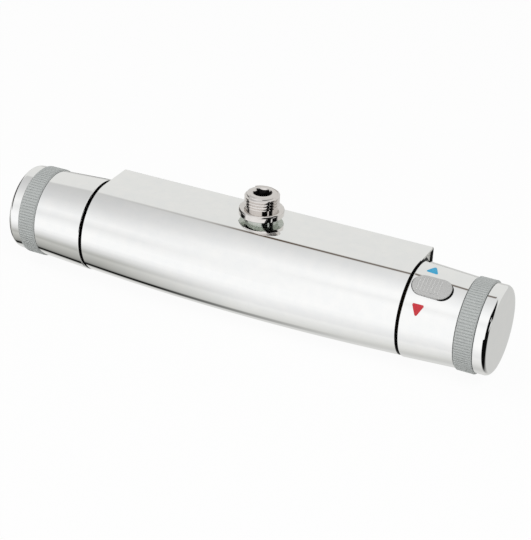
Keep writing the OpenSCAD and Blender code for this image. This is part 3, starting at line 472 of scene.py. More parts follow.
def cover_surfaces():
    """The cover's curved and flat outer faces, as tests for true_normals."""
    def local(co):
        return co[:, 0] / MM, co[:, 1] / MM - BAR_Y, co[:, 2] / MM

    def front(co):
        x, y, z = local(co)
        r = cover_r(x)
        up = z - (SHELF_Z - r)
        rho = np.maximum(np.hypot(y, up), 1e-6)
        slope = -2 * COVER_BULGE * x / COVER_END_X ** 2
        n = np.stack([slope * (up / rho - 1), y / rho, up / rho], 1)
        return np.abs(rho - r) * MM, n / np.linalg.norm(n, axis=1)[:, None]

    def edge(co):
        x, y, z = local(co)
        dy, dz = y - (BACK_Y - COVER_EDGE), z - (SHELF_Z - COVER_EDGE)
        rho = np.maximum(np.hypot(dy, dz), 1e-6)
        off = np.abs(rho - COVER_EDGE)
        off[(dy < -0.01) | (dz < -0.01)] = 1e9
        return off * MM, np.stack([0 * x, dy / rho, dz / rho], 1)

    def plane(axis, value):
        def test(co):
            at = local(co)[axis]
            n = np.zeros((len(at), 3))
            n[:, axis] = 1
            return np.abs(at - value) * MM, n
        return test
    return [front, edge, plane(2, SHELF_Z), plane(1, BACK_Y)]


def cover():
    """The whole shell: outer skin, rims, recessed end walls with their neck holes, inner skin."""
    wall_x = COVER_END_X - END_RECESS
    inner_x = wall_x - COVER_WALL
    outer_steps, inner_steps = 64, 16
    rings = []

    def section(x, inset):
        rings.append([(x, y, z) for y, z in cover_outline(x, inset)])

    def neck(x, r):
        # A circle whose points follow the outline's own directions from the axis
        ring = []
        for y, z in cover_outline(x, COVER_WALL):
            a = math.atan2(z, y)
            fit = min(r, math.hypot(y, z) - 0.1)
            ring.append((x, fit * math.cos(a), fit * math.sin(a)))
        rings.append(ring)
    right_end = [
        (neck, inner_x, NECK_HOLE_R), (neck, wall_x, NECK_HOLE_R), (neck, wall_x, SHADOW_R),
        (section, wall_x, COVER_WALL), (section, COVER_END_X - COVER_RIM, COVER_WALL),
        (section, COVER_END_X, COVER_WALL - COVER_RIM), (section, COVER_END_X, COVER_RIM),
    ]
    for ring, x, size in right_end:
        ring(x, size)
    for i in range(outer_steps + 1):
        section(math.cos(math.pi * i / outer_steps) * (COVER_END_X - COVER_RIM), 0)
    for ring, x, size in reversed(right_end):
        ring(-x, size)
    for i in range(inner_steps + 1):
        section(-inner_x * math.cos(math.pi * i / inner_steps), COVER_WALL)
    points, rows, faces = loft(rings)
    obj = piece("cover", points, faces + belt(rows[-1], rows[0]), leaning_frame(), [CHROME])
    tools = [prism(circle(NIPPLE_HOLE_R), SHELF_Z - 8, SHELF_Z + 12, nipple_frame())]
    for side in (-1, 1):
        for outline, place in (
            (circle(INLET_HOLE_R), wall_frame(side * INLET_X)),
            (circle(SCREW_HOLE_R, 32), wall_frame(side * SCREW_X, SCREW_Z)),
        ):
            tools.append(prism(outline, BACK_Y - 5, BACK_Y + 3, place))
    cut(obj, tools)
    true_normals(obj, cover_surfaces())

    def end_wall(x, y, z, normal):
        flat = abs(normal.x) > 0.9 and (x < wall_x + 0.1 or z > SHELF_Z - COVER_WALL)
        return x > wall_x - 0.1 and (flat or normal.y * y + normal.z * z < 0)

    def shadowed(x, y, z, normal):
        # Painted shade: the hollow inside, all that lies behind the knob's lip, and the recess and
        # rim behind
        r, outwards, endwards = math.hypot(y, z), normal.y * y + normal.z * z, abs(normal.x) > 0.3
        hollow = x < wall_x - 0.05 and outwards < -0.2 * r
        behind = x > inner_x - 0.05 and endwards and r < LIP_R + 0.1
        recess = x > wall_x and outwards < 0 and (r < LIP_R or y > BACK_Y - COVER_WALL - 0.1)
        return hollow or behind or recess or (endwards and y > REAR_RIM_Y and z > 0)
    refinish(obj, SATIN, end_wall)
    refinish(obj, PAINTED_SHADE, shadowed)
    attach(obj, "valve_body")
    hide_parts("cover_shell")


# ------------------------------------------------------------------ knobs
def sleeve_r(x):
    """Radius of a knob's tapering sleeve."""
    return LIP_R + (SLEEVE_R - LIP_R) * (x - KNOB_X) / (GRIP_X - KNOB_X)


def sleeve_profile():
    """Section of a sleeve: rounded lip at the seam, taper, small chamfer, seat of the grip ring."""
    lip, taper, chamfer = 0.6, 1.6, 0.15
    seat = GRIP_SEAT_R - FIT
    return (
        [(SLEEVE_BORE_R, KNOB_X), (LIP_R - lip, KNOB_X)]
        + arc(LIP_R - lip, KNOB_X + lip, lip, -90, 0, 8)
        + [(sleeve_r(KNOB_X + taper), KNOB_X + taper)]
        + [(sleeve_r(GRIP_X - chamfer), GRIP_X - chamfer), (SLEEVE_R - chamfer, GRIP_X)]
        + [(seat, GRIP_X), (seat, CAP_X), (SLEEVE_BORE_R, CAP_X)]
    )


def sleeve(side, name, node, body):
    """Chromed sleeve, with painted shade where it isn't skin; the temperature knob's has the
    button's slot.
    """
    place = bar_frame(side)
    profile = sleeve_profile()
    obj = turned(name, profile, place, [CHROME], count=360)
    if side > 0:
        # The slot's tool reaches from inside the bore to outside the sleeve
        low, high = 15, 35
        slot = [(x + SLOT_X, y) for x, y in stadium(SLOT_LENGTH, SLOT_WIDTH)]
        cut(obj, [prism(slot, low, high, leaning_frame(BUTTON_ANGLE))])
        true_normals(obj, turned_surfaces(profile, place))
    # Painted shade: every face inside the sleeve's skin, its bore and end faces, takes the
    # near-black finish
    refinish(obj, PAINTED_SHADE, lambda x, y, z, normal: math.hypot(y, z) < sleeve_r(x) - 0.5)
    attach(obj, body)
    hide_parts(node)


def end_cap(side, name, node, body):
    """Chromed cap with a wide rounded edge and a plug that fits the sleeve."""
    plug, plug_wall, plug_depth, front_wall, chamfer = SLEEVE_BORE_R - FIT, 2, 6, 2.5, 0.25
    profile = (
        [(0, END_X - front_wall), (plug - plug_wall, END_X - front_wall)]
        + [(plug - plug_wall, CAP_X - plug_depth), (plug, CAP_X - plug_depth), (plug, CAP_X)]
        + [(CAP_R - chamfer, CAP_X), (CAP_R, CAP_X + chamfer)]
        + arc(CAP_R - CAP_EDGE, END_X - CAP_EDGE, CAP_EDGE, 0, 90, 24)
        + [(0, END_X)]
    )
    obj = turned(name, profile, bar_frame(side), [CHROME])
    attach(obj, body)
    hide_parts(node)


def ribs_tree(name, base, sizes):
    """A Geometry Nodes tree with named inputs: the piece that carries the ribs, and its sizes."""
    tree = bpy.data.node_groups.new(name, "GeometryNodeTree")
    tree.interface.new_socket(name=base, in_out="INPUT", socket_type="NodeSocketGeometry")
    for label, value in sizes.items():
        kind = "NodeSocketInt" if isinstance(value, int) else "NodeSocketFloat"
        item = tree.interface.new_socket(name=label, in_out="INPUT", socket_type=kind)
        item.default_value = value
    tree.interface.new_socket(name="Result", in_out="OUTPUT", socket_type="NodeSocketGeometry")
    return tree


def add_ribs(obj, tree, sizes):
    """Runs a tree on a piece, its inputs set by the names that the tree gives them."""
    mod = obj.modifiers.new("ribs", "NODES")
    mod.node_group = tree
    for item in tree.interface.items_tree:
        if item.item_type == "SOCKET" and item.in_out == "INPUT" and item.name in sizes:
            mod[item.identifier] = sizes[item.name]
    apply_modifiers(obj)


def ribbed_band_tree(finish, sizes):
    """Ribs set round the Z axis, joined to the band that comes in."""
    tree = ribs_tree("ribbed_band", "Band", sizes)
    given = add(tree, "NodeGroupInput").outputs
    ring = add(tree, "GeometryNodeMeshCircle",
               links={"Vertices": given["Ribs"], "Radius": given["Ring Radius"]})
    section = add(tree, "GeometryNodeCurvePrimitiveQuadrilateral",
                  links={"Width": given["Rib Depth"], "Height": given["Rib Width"]})
    eased = add(tree, "GeometryNodeFilletCurve", {"mode": "POLY", "Count": 3, "Radius": 0.0002},
                {"Curve": section})
    tip = add(tree, "ShaderNodeCombineXYZ", links={"Z": given["Rib Length"]})
    spine = add(tree, "GeometryNodeCurvePrimitiveLine", links={"End": tip})
    rib = add(tree, "GeometryNodeCurveToMesh", {"Fill Caps": True},
              {"Curve": spine, "Profile Curve": eased})
    outwards = add(tree, "FunctionNodeAlignRotationToVector", {"axis": "X", "pivot_axis": "Z"},
                   {"Vector": add(tree, "GeometryNodeInputPosition")})
    ribs = add(tree, "GeometryNodeInstanceOnPoints", links={
        "Points": ring, "Instance": rib, "Rotation": outwards,
    })
    lift = add(tree, "ShaderNodeCombineXYZ", links={"Z": given["Height"]})
    moved = add(tree, "GeometryNodeTransform", links={"Geometry": ribs, "Translation": lift})
    real = add(tree, "GeometryNodeRealizeInstances", links={"Geometry": moved})
    both = add(tree, "GeometryNodeJoinGeometry")
    tree.links.new(real.outputs[0], both.inputs[0])
    tree.links.new(given["Band"], both.inputs[0])
    painted = add(tree, "GeometryNodeSetMaterial", {"Material": finish}, {"Geometry": both})
    add(tree, "NodeGroupOutput", links={0: painted})
    return tree


GRIP_SIZES = {
    "Ribs": 96, "Ring Radius": (GRIP_R - RIB_HEIGHT) * MM, "Rib Depth": 2 * RIB_HEIGHT * MM,
    "Rib Width": RIB_WIDTH * MM, "Rib Length": (CAP_X - GRIP_X - 2 * (GRIP_GAP + RIB_INSET)) * MM,
    "Height": (GRIP_X + GRIP_GAP + RIB_INSET) * MM,
}
GRIP_TREE = ribbed_band_tree(GRIP, GRIP_SIZES)


def grip_ring(side, name, node, body):
    """Grey band of flat-topped ribs along the bar, with narrow grooves and rounded edges."""
    edge, base = 0.4, GRIP_R - RIB_HEIGHT
    low, high = GRIP_X + GRIP_GAP, CAP_X - GRIP_GAP
    profile = (
        [(GRIP_SEAT_R + FIT, low)]
        + arc(base - edge, low + edge, edge, -90, 0, 4)
        + arc(base - edge, high - edge, edge, 0, 90, 4)
        + [(GRIP_SEAT_R + FIT, high)]
    )
    obj = turned(name, profile, Matrix.Identity(4), [GRIP], count=192)
    add_ribs(obj, GRIP_TREE, GRIP_SIZES)
    obj.data.transform(bar_frame(side))
    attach(obj, body)
    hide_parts(node)


def marker(name, node, sign, offset, finish):
    """Enamel triangle that follows the sleeve, with round corners and a slightly domed face.

    Its near side lies offset degrees above the button's middle, or below it with sign -1.
    """
    half, foot, top = MARKER_WIDTH / 2, -MARKER_HEIGHT / 2, MARKER_HEIGHT / 2
    near = BUTTON_ANGLE - sign * offset
    mid_angle = near - sign * math.degrees(MARKER_HEIGHT / LIP_R / 2)
    slope = math.atan2(half, MARKER_HEIGHT)
    run = MARKER_CORNER / math.tan(math.pi / 4 - slope / 2)
    deg = math.degrees(slope)
    corners = (
        arc(half - run, MARKER_CORNER + foot, MARKER_CORNER, -90, deg, 10)
        + arc(0, top - MARKER_CORNER / math.sin(slope), MARKER_CORNER, deg, 180 - deg, 10)
        + arc(run - half, MARKER_CORNER + foot, MARKER_CORNER, 180 - deg, 270, 10)
    )
    # Points close together, so that the straight sides follow the sleeve too
    parts = 20
    outline = [
        (sign * (x0 + (x1 - x0) * i / parts), sign * (y0 + (y1 - y0) * i / parts))
        for (x0, y0), (x1, y1) in zip(corners, corners[1:] + corners[:1])
        for i in range(parts if math.hypot(x1 - x0, y1 - y0) > 1 else 1)
    ]
    rings = []
    # Share of the outline and height over the sleeve, from the foot to the domed face
    steps = [(1.0, -0.3), (1.0, 0.02), (0.96, 0.05), (0.8, 0.06), (0.4, 0.06), (0.05, 0.06)]
    for share, lift in steps:
        ring = []
        for x, y in outline:
            at = MARKER_X + x * share
            r = sleeve_r(at) + lift
            # A block on the sleeve: its width is straight, its height falls with the cone
            ring.append((at, y * share, math.sqrt(r * r - (y * share) ** 2)))
        rings.append(ring)
    points, rows, faces = loft(rings)
    faces += [rows[-1], rows[0][::-1]]
    obj = piece(name, points, faces, leaning_frame(mid_angle), [finish])
    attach(obj, "temp_knob")
    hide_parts(node)


def button_ribs_tree(finish, sizes):
    """A row of ribs bent over the button's crown, joined to the button that comes in."""
    # Degrees round the bar from the crown's middle to a rib's end
    reach = 9.2
    tree = ribs_tree("button_ribs", "Button", sizes)
    given = add(tree, "NodeGroupInput").outputs
    bow = add(tree, "GeometryNodeCurveArc", {
        "Resolution": 24, "Start Angle": math.radians(90 - reach),
        "Sweep Angle": math.radians(2 * reach),
    }, {"Radius": given["Crown Radius"]})
    section = add(tree, "GeometryNodeCurvePrimitiveCircle", {"Resolution": 10},
                  {"Radius": given["Rib Radius"]})
    rib = add(tree, "GeometryNodeCurveToMesh", {"Fill Caps": True},
              {"Curve": bow, "Profile Curve": section})
    # The arc is drawn in the XY plane: turned so that it bends over the bar's axis
    quarter = math.radians(90)
    stood = add(tree, "GeometryNodeTransform", {"Rotation": (quarter, 0, quarter)},
                {"Geometry": rib})
    smooth = add(tree, "GeometryNodeSetShadeSmooth", links={"Geometry": stood})
    offset = add(tree, "ShaderNodeCombineXYZ", links={"X": given["Pitch"]})
    start = add(tree, "ShaderNodeCombineXYZ", links={"X": given["First Rib"]})
    row = add(tree, "GeometryNodeMeshLine", {"mode": "OFFSET"},
              {"Count": given["Ribs"], "Start Location": start, "Offset": offset})
    placed = add(tree, "GeometryNodeInstanceOnPoints", links={"Points": row, "Instance": smooth})
    real = add(tree, "GeometryNodeRealizeInstances", links={"Geometry": placed})
    painted = add(tree, "GeometryNodeSetMaterial", {"Material": finish}, {"Geometry": real})
    both = add(tree, "GeometryNodeJoinGeometry")
    tree.links.new(painted.outputs[0], both.inputs[0])
    tree.links.new(given["Button"], both.inputs[0])
    add(tree, "NodeGroupOutput", links={0: both})
    return tree


def stop_button():
    """Crowned slot-shaped button with a rounded edge; the flange below stays under the sleeve."""
    skirt_z, edge_steps, rib_sunk = 21.4, 8, 0.08
    rib_sizes = {
        "Ribs": 7, "Pitch": 2.06 * MM, "First Rib": (BUTTON_X - 7.65) * MM, "Rib Radius": 0.45 * MM,
        "Crown Radius": (BUTTON_TOP_R - rib_sunk) * MM,
    }
    # How far below the crown the painted shade on the button's foot begins, at the left and the
    # right end
    left_shade_depth, right_shade_depth = 1.25, 0.85
    rings = []

    def crown(y):
        return math.sqrt(BUTTON_TOP_R ** 2 - y * y)

    def ring(inset, drop):
        outline = stadium(BUTTON_LENGTH - 2 * inset, BUTTON_WIDTH - 2 * inset)
        rings.append([(BUTTON_X + x, y, crown(y) - drop) for x, y in outline])
    rings.append([(BUTTON_X + x, y, skirt_z) for x, y in stadium(BUTTON_LENGTH, BUTTON_WIDTH)])
    ring(0, left_shade_depth)
    for i in range(edge_steps + 1):
        a = math.radians(90 * i / edge_steps)
        ring(BUTTON_EDGE * (1 - math.cos(a)), BUTTON_EDGE * (1 - math.sin(a)))
    for inset in (1.6, 3.0, 4.2, 5.4, 6.2, 6.55):
        ring(inset, 0)
    points, rows, faces = loft(rings)
    top = rows[-1]
    for i in range(len(top) // 2 - 1):
        faces.append([top[i], top[i + 1], top[-2 - i], top[-1 - i]])
    faces.append(rows[0][::-1])
    obj = piece("stop_button_cap", points, faces, Matrix.Identity(4), [BUTTON], sharp=50)
    add_ribs(obj, button_ribs_tree(RIB_HIGHLIGHT, rib_sizes), rib_sizes)
    # Painted shade: the foot of the button's round ends takes the near-black finish
    obj.data.materials.append(PAINTED_SHADE)
    for poly in obj.data.polygons:
        c = poly.center / MM
        along = c.x - BUTTON_X
        foot = right_shade_depth if along > 0 else left_shade_depth
        if abs(along) > (BUTTON_LENGTH - BUTTON_WIDTH) / 2 and c.z < crown(c.y) - foot:
            poly.material_index = len(obj.data.materials) - 1
    obj.data.transform(leaning_frame(BUTTON_ANGLE))
    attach(obj, "stop_button")
    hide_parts("stop_button")


# ------------------------------------------------------------------ outlet, threads and springs
def thread(name, crest, root, low, turns, place, finish):
    """One helical ridge of trapezoid section that dies out at both ends, its root in the wall."""
    per_turn, fade_steps, least_rise = 96, 30, 0.02
    gap, land, foot, sink = 0.15, 0.45, 0.1, 0.1
    count = int(turns * per_turn)
    inward = crest < root
    base = (THREAD_PITCH - gap) / 2
    sunk = root + (sink if inward else -sink)
    points, faces = [], []
    for i in range(count + 1):
        a = 2 * math.pi * i / per_turn
        z = low + THREAD_PITCH * i / per_turn
        fade = min(1.0, i / fade_steps, (count - i) / fade_steps)
        top = root + (crest - root) * max(fade, least_rise)
        section = [(sunk, -base), (root, -base + foot), (top, -land / 2),
                   (top, land / 2), (root, base - foot), (sunk, base)]
        points += [(r * math.cos(a), r * math.sin(a), z + h) for r, h in section]
    for i in range(count):
        for j in range(6):
            k = (j + 1) % 6
            faces.append([6 * i + j, 6 * i + 6 + j, 6 * i + 6 + k, 6 * i + k])
    faces.append(list(range(6)))
    faces.append([6 * count + j for j in range(6)][::-1])
    if inward:
        faces = [face[::-1] for face in faces]
    return piece(name, points, faces, place, [finish], sharp=25)


def nipple():
    """Outlet nipple: screw-in end, flange with a rounded upper edge, thread, hexagon socket."""
    bore, tail, neck, flange, socket_rim = 4.8, 7.0, 10.3, 13.6, 5.9
    tail_z, shoulder_z, seat_z, flange_z, top_z = 14.5, 25.8, 31.0, 35.0, 44.77
    small, edge, flange_edge = 0.2, 0.25, 1.4
    profile = (
        [(bore, tail_z), (tail - small, tail_z), (tail, tail_z + small), (tail, shoulder_z)]
        + [(neck - small, shoulder_z), (neck, shoulder_z + small), (neck, seat_z)]
        + [(flange - edge, seat_z), (flange, seat_z + edge)]
        + arc(flange - flange_edge, flange_z - flange_edge, flange_edge, 0, 90, 12)
        # The thread's core, with two arcs round its upper edge
        + [(ROOT_R, flange_z), (ROOT_R, 43.7)]
        + arc(8.9, 43.9, 0.35, 0, 45, 4)
        + arc(8.0, 44.07, 0.7, 45, 90, 4)
        + [(socket_rim, top_z), (5.0, top_z - 0.9), (bore, top_z - 0.9)]
    )
    obj = turned("outlet_core", profile, nipple_frame(), [POLISHED, PAINTED_SHADE, SHADE_NICKEL])
    across_flats, socket_depth, above = 10.0, 7, 3
    hexagon = circle(across_flats / math.sqrt(3), 6, math.radians(15))
    cut(obj, [prism(hexagon, top_z - socket_depth, top_z + above, nipple_frame())])
    true_normals(obj, turned_surfaces(profile, nipple_frame()))
    # Painted shade: the socket and the water way below it take the near-black finish, all below the
    # flange's underside the greyer nickel
    axis_y = (BAR_Y + NIPPLE_Y) * MM
    for poly in obj.data.polygons:
        c = poly.center
        if math.hypot(c.x, c.y - axis_y) < (socket_rim - 0.05) * MM and abs(poly.normal.z) < 0.5:
            poly.material_index = 1
        elif c.z < (seat_z + 0.05) * MM:
            poly.material_index = 2
    ridge = thread("outlet_thread", THREAD_R, ROOT_R, THREAD_Z, THREAD_TURNS,
                   nipple_frame(), POLISHED)
    for p in (obj, ridge):
        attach(p, "valve_body")
        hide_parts("outlet_nipple")


def union_threads():
    """Internal thread of each union nut, which turns with its nut."""
    for side, body in ((-1, "union_nut_hot"), (1, "union_nut_cold")):
        ridge = thread(body + "_thread", UNION_CREST_R, UNION_ROOT_R, UNION_LOW, UNION_TURNS,
                       wall_frame(side * INLET_X), CHROME)
        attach(ridge, body)


def live_spring(node, way):
    """A copy of a coil, its place baked into its mesh, that stands in for its part."""
    obj = bpy.data.objects.new(node + "_coil", NODES[node].data.copy())
    bpy.context.scene.collection.objects.link(obj)
    way = Vector(way)
    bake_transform(obj)
    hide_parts(node)


# ------------------------------------------------------------------ camera, light and floor
def camera():
    """The photograph's own view: position and turn in the part's frame, 17.6 degrees wide."""
    az, el, roll = (math.radians(v) for v in (24.265, 28.36, -2.896))
    back = Vector((math.sin(az) * math.cos(el), -math.cos(az) * math.cos(el), math.sin(el)))
    right = Vector((math.cos(az), math.sin(az), 0))
    up = back.cross(right)
    c, s = math.cos(roll), math.sin(roll)
    rows = (c * right - s * up, s * right + c * up, back)
    turn = Matrix(rows).transposed()
    data = bpy.data.cameras.new("photo_camera")
    data.sensor_fit = "HORIZONTAL"
    data.sensor_width = 36
    data.lens = 116.36
    data.clip_start = 0.01
    data.clip_end = 50
    cam = bpy.data.objects.new("photo_camera", data)
    cam.matrix_world = Matrix.Translation((0.37724, -0.85855, 0.48358)) @ turn.to_4x4()
    bpy.context.scene.collection.objects.link(cam)
    bpy.context.scene.camera = cam


def span(low, high, at_low=0.0, at_high=1.0):
    """Settings for a Map Range that goes from at_low to at_high between low and high."""
    return {"From Min": low, "From Max": high, "To Min": at_low, "To Max": at_high}


def scaled(low, high, stops):
    """Settings for a colour ramp whose stops are given on a scale from low to high."""
    return {"stops": [((at - low) / (high - low), code) for at, code in stops]}


PRODUCT = {"operation": "MULTIPLY"}
LARGER = {"operation": "MAXIMUM"}
COLOURS = {"data_type": "RGBA"}
# The colour mix whose second colour is a black card or a dark line
OVER_BLACK = {"data_type": "RGBA", 7: linear("#0B0B0B")}
OFF = "#000000"
ON = "#FFFFFF"


def by_ray(tree, end, lighting, seen, mirrored):
    """Ends a tree with one shader for the camera, one for mirrors and glass, one for the rest."""
    path = add(tree, "ShaderNodeLightPath").outputs
    bounced = add(tree, "ShaderNodeMath", LARGER,
                  {0: path["Is Glossy Ray"], 1: path["Is Transmission Ray"]})
    straight = add(tree, "ShaderNodeMixShader",
                   links={0: path["Is Camera Ray"], 1: lighting, 2: seen})
    both = add(tree, "ShaderNodeMixShader", links={0: bounced, 1: straight, 2: mirrored})
    add(tree, end, links={"Surface": both})


def studio():
    """A white tent with dark cards: what chrome mirrors is a band of tones round the bar's axis."""
    world = bpy.data.worlds.new("tent")
    bpy.context.scene.world = world
    tree = empty_tree(world)
    # The way that a mirrored ray goes: X to the right, Y to the wall, Z up
    way = add(tree, "ShaderNodeSeparateXYZ",
              links={0: add(tree, "ShaderNodeTexCoord").outputs["Generated"]}).outputs

    front = add(tree, "ShaderNodeMath", {"operation": "MULTIPLY", 1: -1.0}, {0: way["Y"]})
    angle = add(tree, "ShaderNodeMath", {"operation": "ARCTAN2"}, {0: way["Z"], 1: front})
    turn = add(tree, "ShaderNodeMapRange", span(-math.pi, math.pi), {"Value": angle})

    # Roof of the tent, then its front wall, brighter on the right than on the left. Each tone
    # stands at the angle from the bar's top, in degrees, where the bar mirrors it.
    below, above = 164.65, -15.35
    tones = (
        [(below, "#E4E4E2"), (84, "#FFFFFF"), (73, "#FCFCFC"), (65, "#EFEFEF"), (57, "#F9F9F9"),
         (48, "#EAEAEA"), (39, "#DADADA"), (30, "#D1D1D1"), (19, "#CBCBCA"), (16.6, "#E4E4E2")],
        [(below, "#E4E4E2"), (84, "#FFFFFF"), (66, "#FAFAFA"), (48, "#F9F9F9"), (39, "#EBEBEB"),
         (30, "#E0E0E0"), (19, "#D2D2D1"), (16.6, "#E4E4E2")],
        [(below, "#E2E2E0"), (84, "#FFFFFF"), (63, "#FFFFFF"), (57, "#F7F7F7"), (52, "#FFFFFF"),
         (48, "#FFFFFF"), (39, "#F4F4F4"), (30, "#E6E6E6"), (19, "#DEDEDD"), (16.6, "#E4E4E2")],
    )
    left, middle, right = (
        add(tree, "ShaderNodeValToRGB", scaled(below, above, stops), {"Fac": turn})
        for stops in tones
    )
    nearer = add(tree, "ShaderNodeMapRange", span(-0.46, -0.38), {"Value": way["X"]})
    further = add(tree, "ShaderNodeMapRange", span(-0.38, -0.29), {"Value": way["X"]})
    half = add(tree, "ShaderNodeMix", COLOURS, {0: nearer, 6: left, 7: middle})
    walls = add(tree, "ShaderNodeMix", COLOURS, {0: further, 6: half.outputs[2], 7: right})

    # The rail where roof and front wall meet, clearest just left of the middle
    rail = add(tree, "ShaderNodeValToRGB", scaled(below, above, [
        (below, OFF), (20.0, OFF), (19.1, ON), (17.5, ON), (16.7, OFF),
    ]), {"Fac": turn})
    across = add(tree, "ShaderNodeMapRange", span(-0.5, 0.5), {"Value": way["X"]})
    reach = add(tree, "ShaderNodeValToRGB", {"stops": [
        (0.03, OFF), (0.05, "#404040"), (0.10, "#909090"), (0.127, "#F4F4F4"), (0.139, ON),
        (0.152, "#F4F4F4"), (0.2, "#ECECEC"), (0.45, "#ECECEC"), (0.5, OFF),
    ]}, {"Fac": across})
    share = add(tree, "ShaderNodeMath", PRODUCT, {0: rail, 1: reach})
    railed = add(tree, "ShaderNodeMix", {"data_type": "RGBA", 7: linear("#4A3520")},
                 {0: share, 6: walls.outputs[2]})

    # An upright black card at the right front, with a slit in it
    card = add(tree, "ShaderNodeValToRGB", {"stops": [
        (0.40, OFF), (0.44, ON), (0.975, ON), (0.985, OFF),
    ]}, {"Fac": way["X"]})
    depth = add(tree, "ShaderNodeMapRange", span(0.28, 0.42, 1.0, 0.0), {"Value": way["Y"]})
    whole = add(tree, "ShaderNodeMath", PRODUCT, {0: card, 1: depth})
    deep = add(tree, "ShaderNodeMapRange", span(-0.5, 0.5), {"Value": way["Y"]})
    slit = add(tree, "ShaderNodeValToRGB", {"stops": [
        (0.18, ON), (0.21, OFF), (0.33, OFF), (0.36, ON),
    ]}, {"Fac": deep})
    slit_low = add(tree, "ShaderNodeMapRange", span(0.38, 0.40), {"Value": way["Z"]})
    slit_high = add(tree, "ShaderNodeMapRange", span(0.47, 0.49, 1.0, 0.0), {"Value": way["Z"]})
    slit_near = add(tree, "ShaderNodeMapRange", span(0.80, 0.83), {"Value": way["X"]})
    height = add(tree, "ShaderNodeMath", PRODUCT, {0: slit_low, 1: slit_high})
    window = add(tree, "ShaderNodeMath", PRODUCT, {0: height, 1: slit_near})
    solid = add(tree, "ShaderNodeMix", {"data_type": "RGBA", 6: (1, 1, 1, 1)}, {0: window, 7: slit})
    right_card = add(tree, "ShaderNodeMath", PRODUCT, {0: whole, 1: solid.outputs[2]})

    # A second one far left, leaning; the two are equally high
    tilted = add(tree, "ShaderNodeMath", {"operation": "MULTIPLY_ADD", 1: 0.2},
                 {0: way["Z"], 2: way["X"]})
    left_card = add(tree, "ShaderNodeMapRange", span(-0.80, -0.76, 1.0, 0.0), {"Value": tilted})
    either = add(tree, "ShaderNodeMath", LARGER, {0: right_card, 1: left_card})
    level = add(tree, "ShaderNodeMath", {"operation": "ABSOLUTE"}, {0: way["Z"]})
    low = add(tree, "ShaderNodeMapRange", span(0.78, 0.85, 1.0, 0.0), {"Value": level})
    cards = add(tree, "ShaderNodeMath", PRODUCT, {0: low, 1: either})
    tone = add(tree, "ShaderNodeMix", OVER_BLACK, {0: cards, 6: railed.outputs[2]})

    lighting = add(tree, "ShaderNodeBackground", {"Color": linear("#FBFBFA"), "Strength": 0.5})
    seen = add(tree, "ShaderNodeBackground", {"Color": (1, 1, 1, 1), "Strength": 1.0})
    tent = add(tree, "ShaderNodeBackground", {"Strength": 1.0}, {"Color": tone.outputs[2]})
    by_ray(tree, "ShaderNodeOutputWorld", lighting, seen, tent)


def lamp(name, at, target, size, power):
    """A square soft lamp that chrome doesn't mirror."""
    data = bpy.data.lights.new(name, "AREA")
    data.shape = "SQUARE"
    data.size = size
    data.energy = power
    obj = bpy.data.objects.new(name, data)
    obj.location = at
    obj.rotation_euler = (Vector(target) - Vector(at)).to_track_quat("-Z", "Y").to_euler()
    obj.visible_glossy = False
    bpy.context.scene.collection.objects.link(obj)


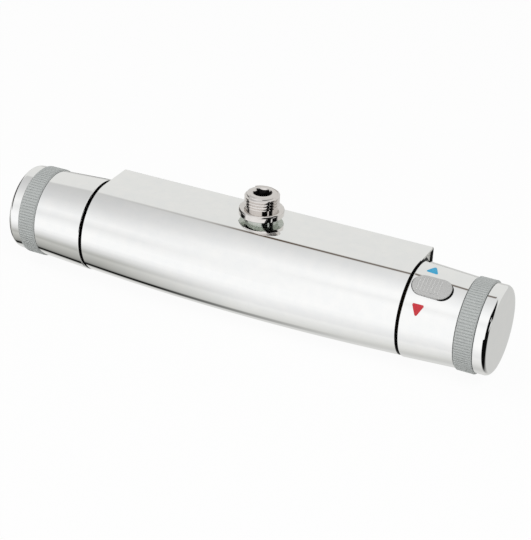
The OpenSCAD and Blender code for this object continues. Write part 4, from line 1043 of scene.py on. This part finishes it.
def floor():
    """Pale table just under the cover, white to the eye, with the bar's soft shadow."""
    half, z = 4.0, -0.0316
    mesh = bpy.data.meshes.new("table")
    corners = [(-half, -half, z), (half, -half, z), (half, half, z), (-half, half, z)]
    mesh.from_pydata(corners, [], [(0, 1, 2, 3)])
    mat = bpy.data.materials.new("pale_table")
    tree = empty_tree(mat)
    spot = add(tree, "ShaderNodeSeparateXYZ",
               links={0: add(tree, "ShaderNodeTexCoord").outputs["Object"]}).outputs
    along = add(tree, "ShaderNodeMath", {"operation": "MULTIPLY", 1: 1 / MM}, {0: spot["X"]})
    across = add(tree, "ShaderNodeMath", {"operation": "MULTIPLY", 1: 1 / MM}, {0: spot["Y"]})

    # What the bar's underside mirrors, painted as glowing tones: the lit table in front and the
    # bar's painted shade near it, darker on the left. Each tone stands at its line, in millimetres
    # behind the bar's axis.
    front, rear = -230, 20
    away = add(tree, "ShaderNodeMapRange", span(BAR_Y + front, BAR_Y + rear), {"Value": across})
    tones = (
        [(-118, "#FFFFFF"), (-82, "#F4F4F4"), (-60, "#DCDCDB"), (-46, "#B6B6B2"), (-40, "#C2C2BE"),
         (-29, "#ABABA7"), (-23, "#92928E"), (-16.5, "#C8C8C5"), (-12, "#E0E0DE"), (5, "#CDCDCB")],
        [(-118, "#FFFFFF"), (-82, "#FBFBFB"), (-60, "#F2F2F2"), (-46, "#EBEBEB"), (-40, "#EFEFEE"),
         (-29, "#E2E2E0"), (-23, "#D4D4D1"), (-16.5, "#D0D0CE"), (-12, "#DADAD8"), (5, "#CDCDCB")],
    )
    left, right = (
        add(tree, "ShaderNodeValToRGB", scaled(front, rear, stops), {"Fac": away})
        for stops in tones
    )
    to_right = add(tree, "ShaderNodeMapRange", span(-100, 0), {"Value": along})
    shade = add(tree, "ShaderNodeMix", COLOURS, {0: to_right, 6: left, 7: right})
    # A painted black line of shade on the table under the bar, fainter towards the right
    seam = add(tree, "ShaderNodeValToRGB", scaled(front, rear, [
        (-23.2, OFF), (-21.4, ON), (-18.2, ON), (-16.4, OFF),
    ]), {"Fac": away})
    fading = add(tree, "ShaderNodeMapRange", span(-60, 70, 1.0, 0.05), {"Value": along})
    line = add(tree, "ShaderNodeMath", PRODUCT, {0: seam, 1: fading})
    with_shade_line = add(tree, "ShaderNodeMix", OVER_BLACK, {0: line, 6: shade.outputs[2]})

    # The two cards' feet: the right one leans back a little as it goes away
    lean = add(tree, "ShaderNodeMath", {"operation": "MULTIPLY_ADD", 1: -0.12},
               {0: along, 2: across})
    right_near = add(tree, "ShaderNodeMapRange", span(156, 160), {"Value": along})
    right_deep = add(tree, "ShaderNodeMapRange", span(BAR_Y - 40, BAR_Y - 20, 1.0, 0.0),
                     {"Value": lean})
    right_card = add(tree, "ShaderNodeMath", PRODUCT, {0: right_near, 1: right_deep})
    left_near = add(tree, "ShaderNodeMapRange", span(-180, -176, 1.0, 0.0), {"Value": along})
    left_far = add(tree, "ShaderNodeMapRange", span(-240, -234), {"Value": along})
    left_deep = add(tree, "ShaderNodeMapRange", span(BAR_Y - 24, BAR_Y - 18), {"Value": across})
    left_wide = add(tree, "ShaderNodeMath", PRODUCT, {0: left_near, 1: left_far})
    left_card = add(tree, "ShaderNodeMath", PRODUCT, {0: left_wide, 1: left_deep})
    cards = add(tree, "ShaderNodeMath", LARGER, {0: right_card, 1: left_card})
    tone = add(tree, "ShaderNodeMix", OVER_BLACK, {0: cards, 6: with_shade_line.outputs[2]})

    paper = add(tree, "ShaderNodeBsdfDiffuse", {"Color": linear("#F8F8F7")})
    glow = add(tree, "ShaderNodeEmission", {"Color": (1, 1, 1, 1), "Strength": 1.0})
    white = add(tree, "ShaderNodeMixShader", {0: 0.94}, {1: paper, 2: glow})
    mirror = add(tree, "ShaderNodeEmission", {"Strength": 1.0}, {"Color": tone.outputs[2]})
    by_ray(tree, "ShaderNodeOutputMaterial", paper, white, mirror)
    mesh.materials.append(mat)
    obj = bpy.data.objects.new("table", mesh)
    bpy.context.scene.collection.objects.link(obj)


bpy.context.scene.view_settings.view_transform = "Standard"
camera()
cover()
sleeve(1, "temp_sleeve_chrome", "temp_sleeve", "temp_knob")
sleeve(-1, "flow_sleeve_chrome", "flow_sleeve", "flow_knob")
end_cap(1, "temp_cap_chrome", "temp_end_cap", "temp_knob")
end_cap(-1, "flow_cap_chrome", "flow_end_cap", "flow_knob")
grip_ring(1, "temp_grip", "temp_grip_ring", "temp_knob")
grip_ring(-1, "flow_grip", "flow_grip_ring", "flow_knob")
marker("blue_triangle", "cold_marker", 1, 21.4, BLUE)
marker("red_triangle", "hot_marker", -1, 24, RED)
stop_button()
nipple()
union_threads()
live_spring("check_spring_hot", (0, 1, 0))
live_spring("check_spring_cold", (0, 1, 0))
live_spring("button_spring", (0, -0.5, 0.8660254))
live_spring("return_spring", (1, 0, 0))
studio()
lamp("key", (0.9, -0.9, 1.3), (0, 0, 0), 1.0, 12)
lamp("fill", (-1.1, -0.6, 1.0), (0, 0, 0), 1.2, 5)
floor()
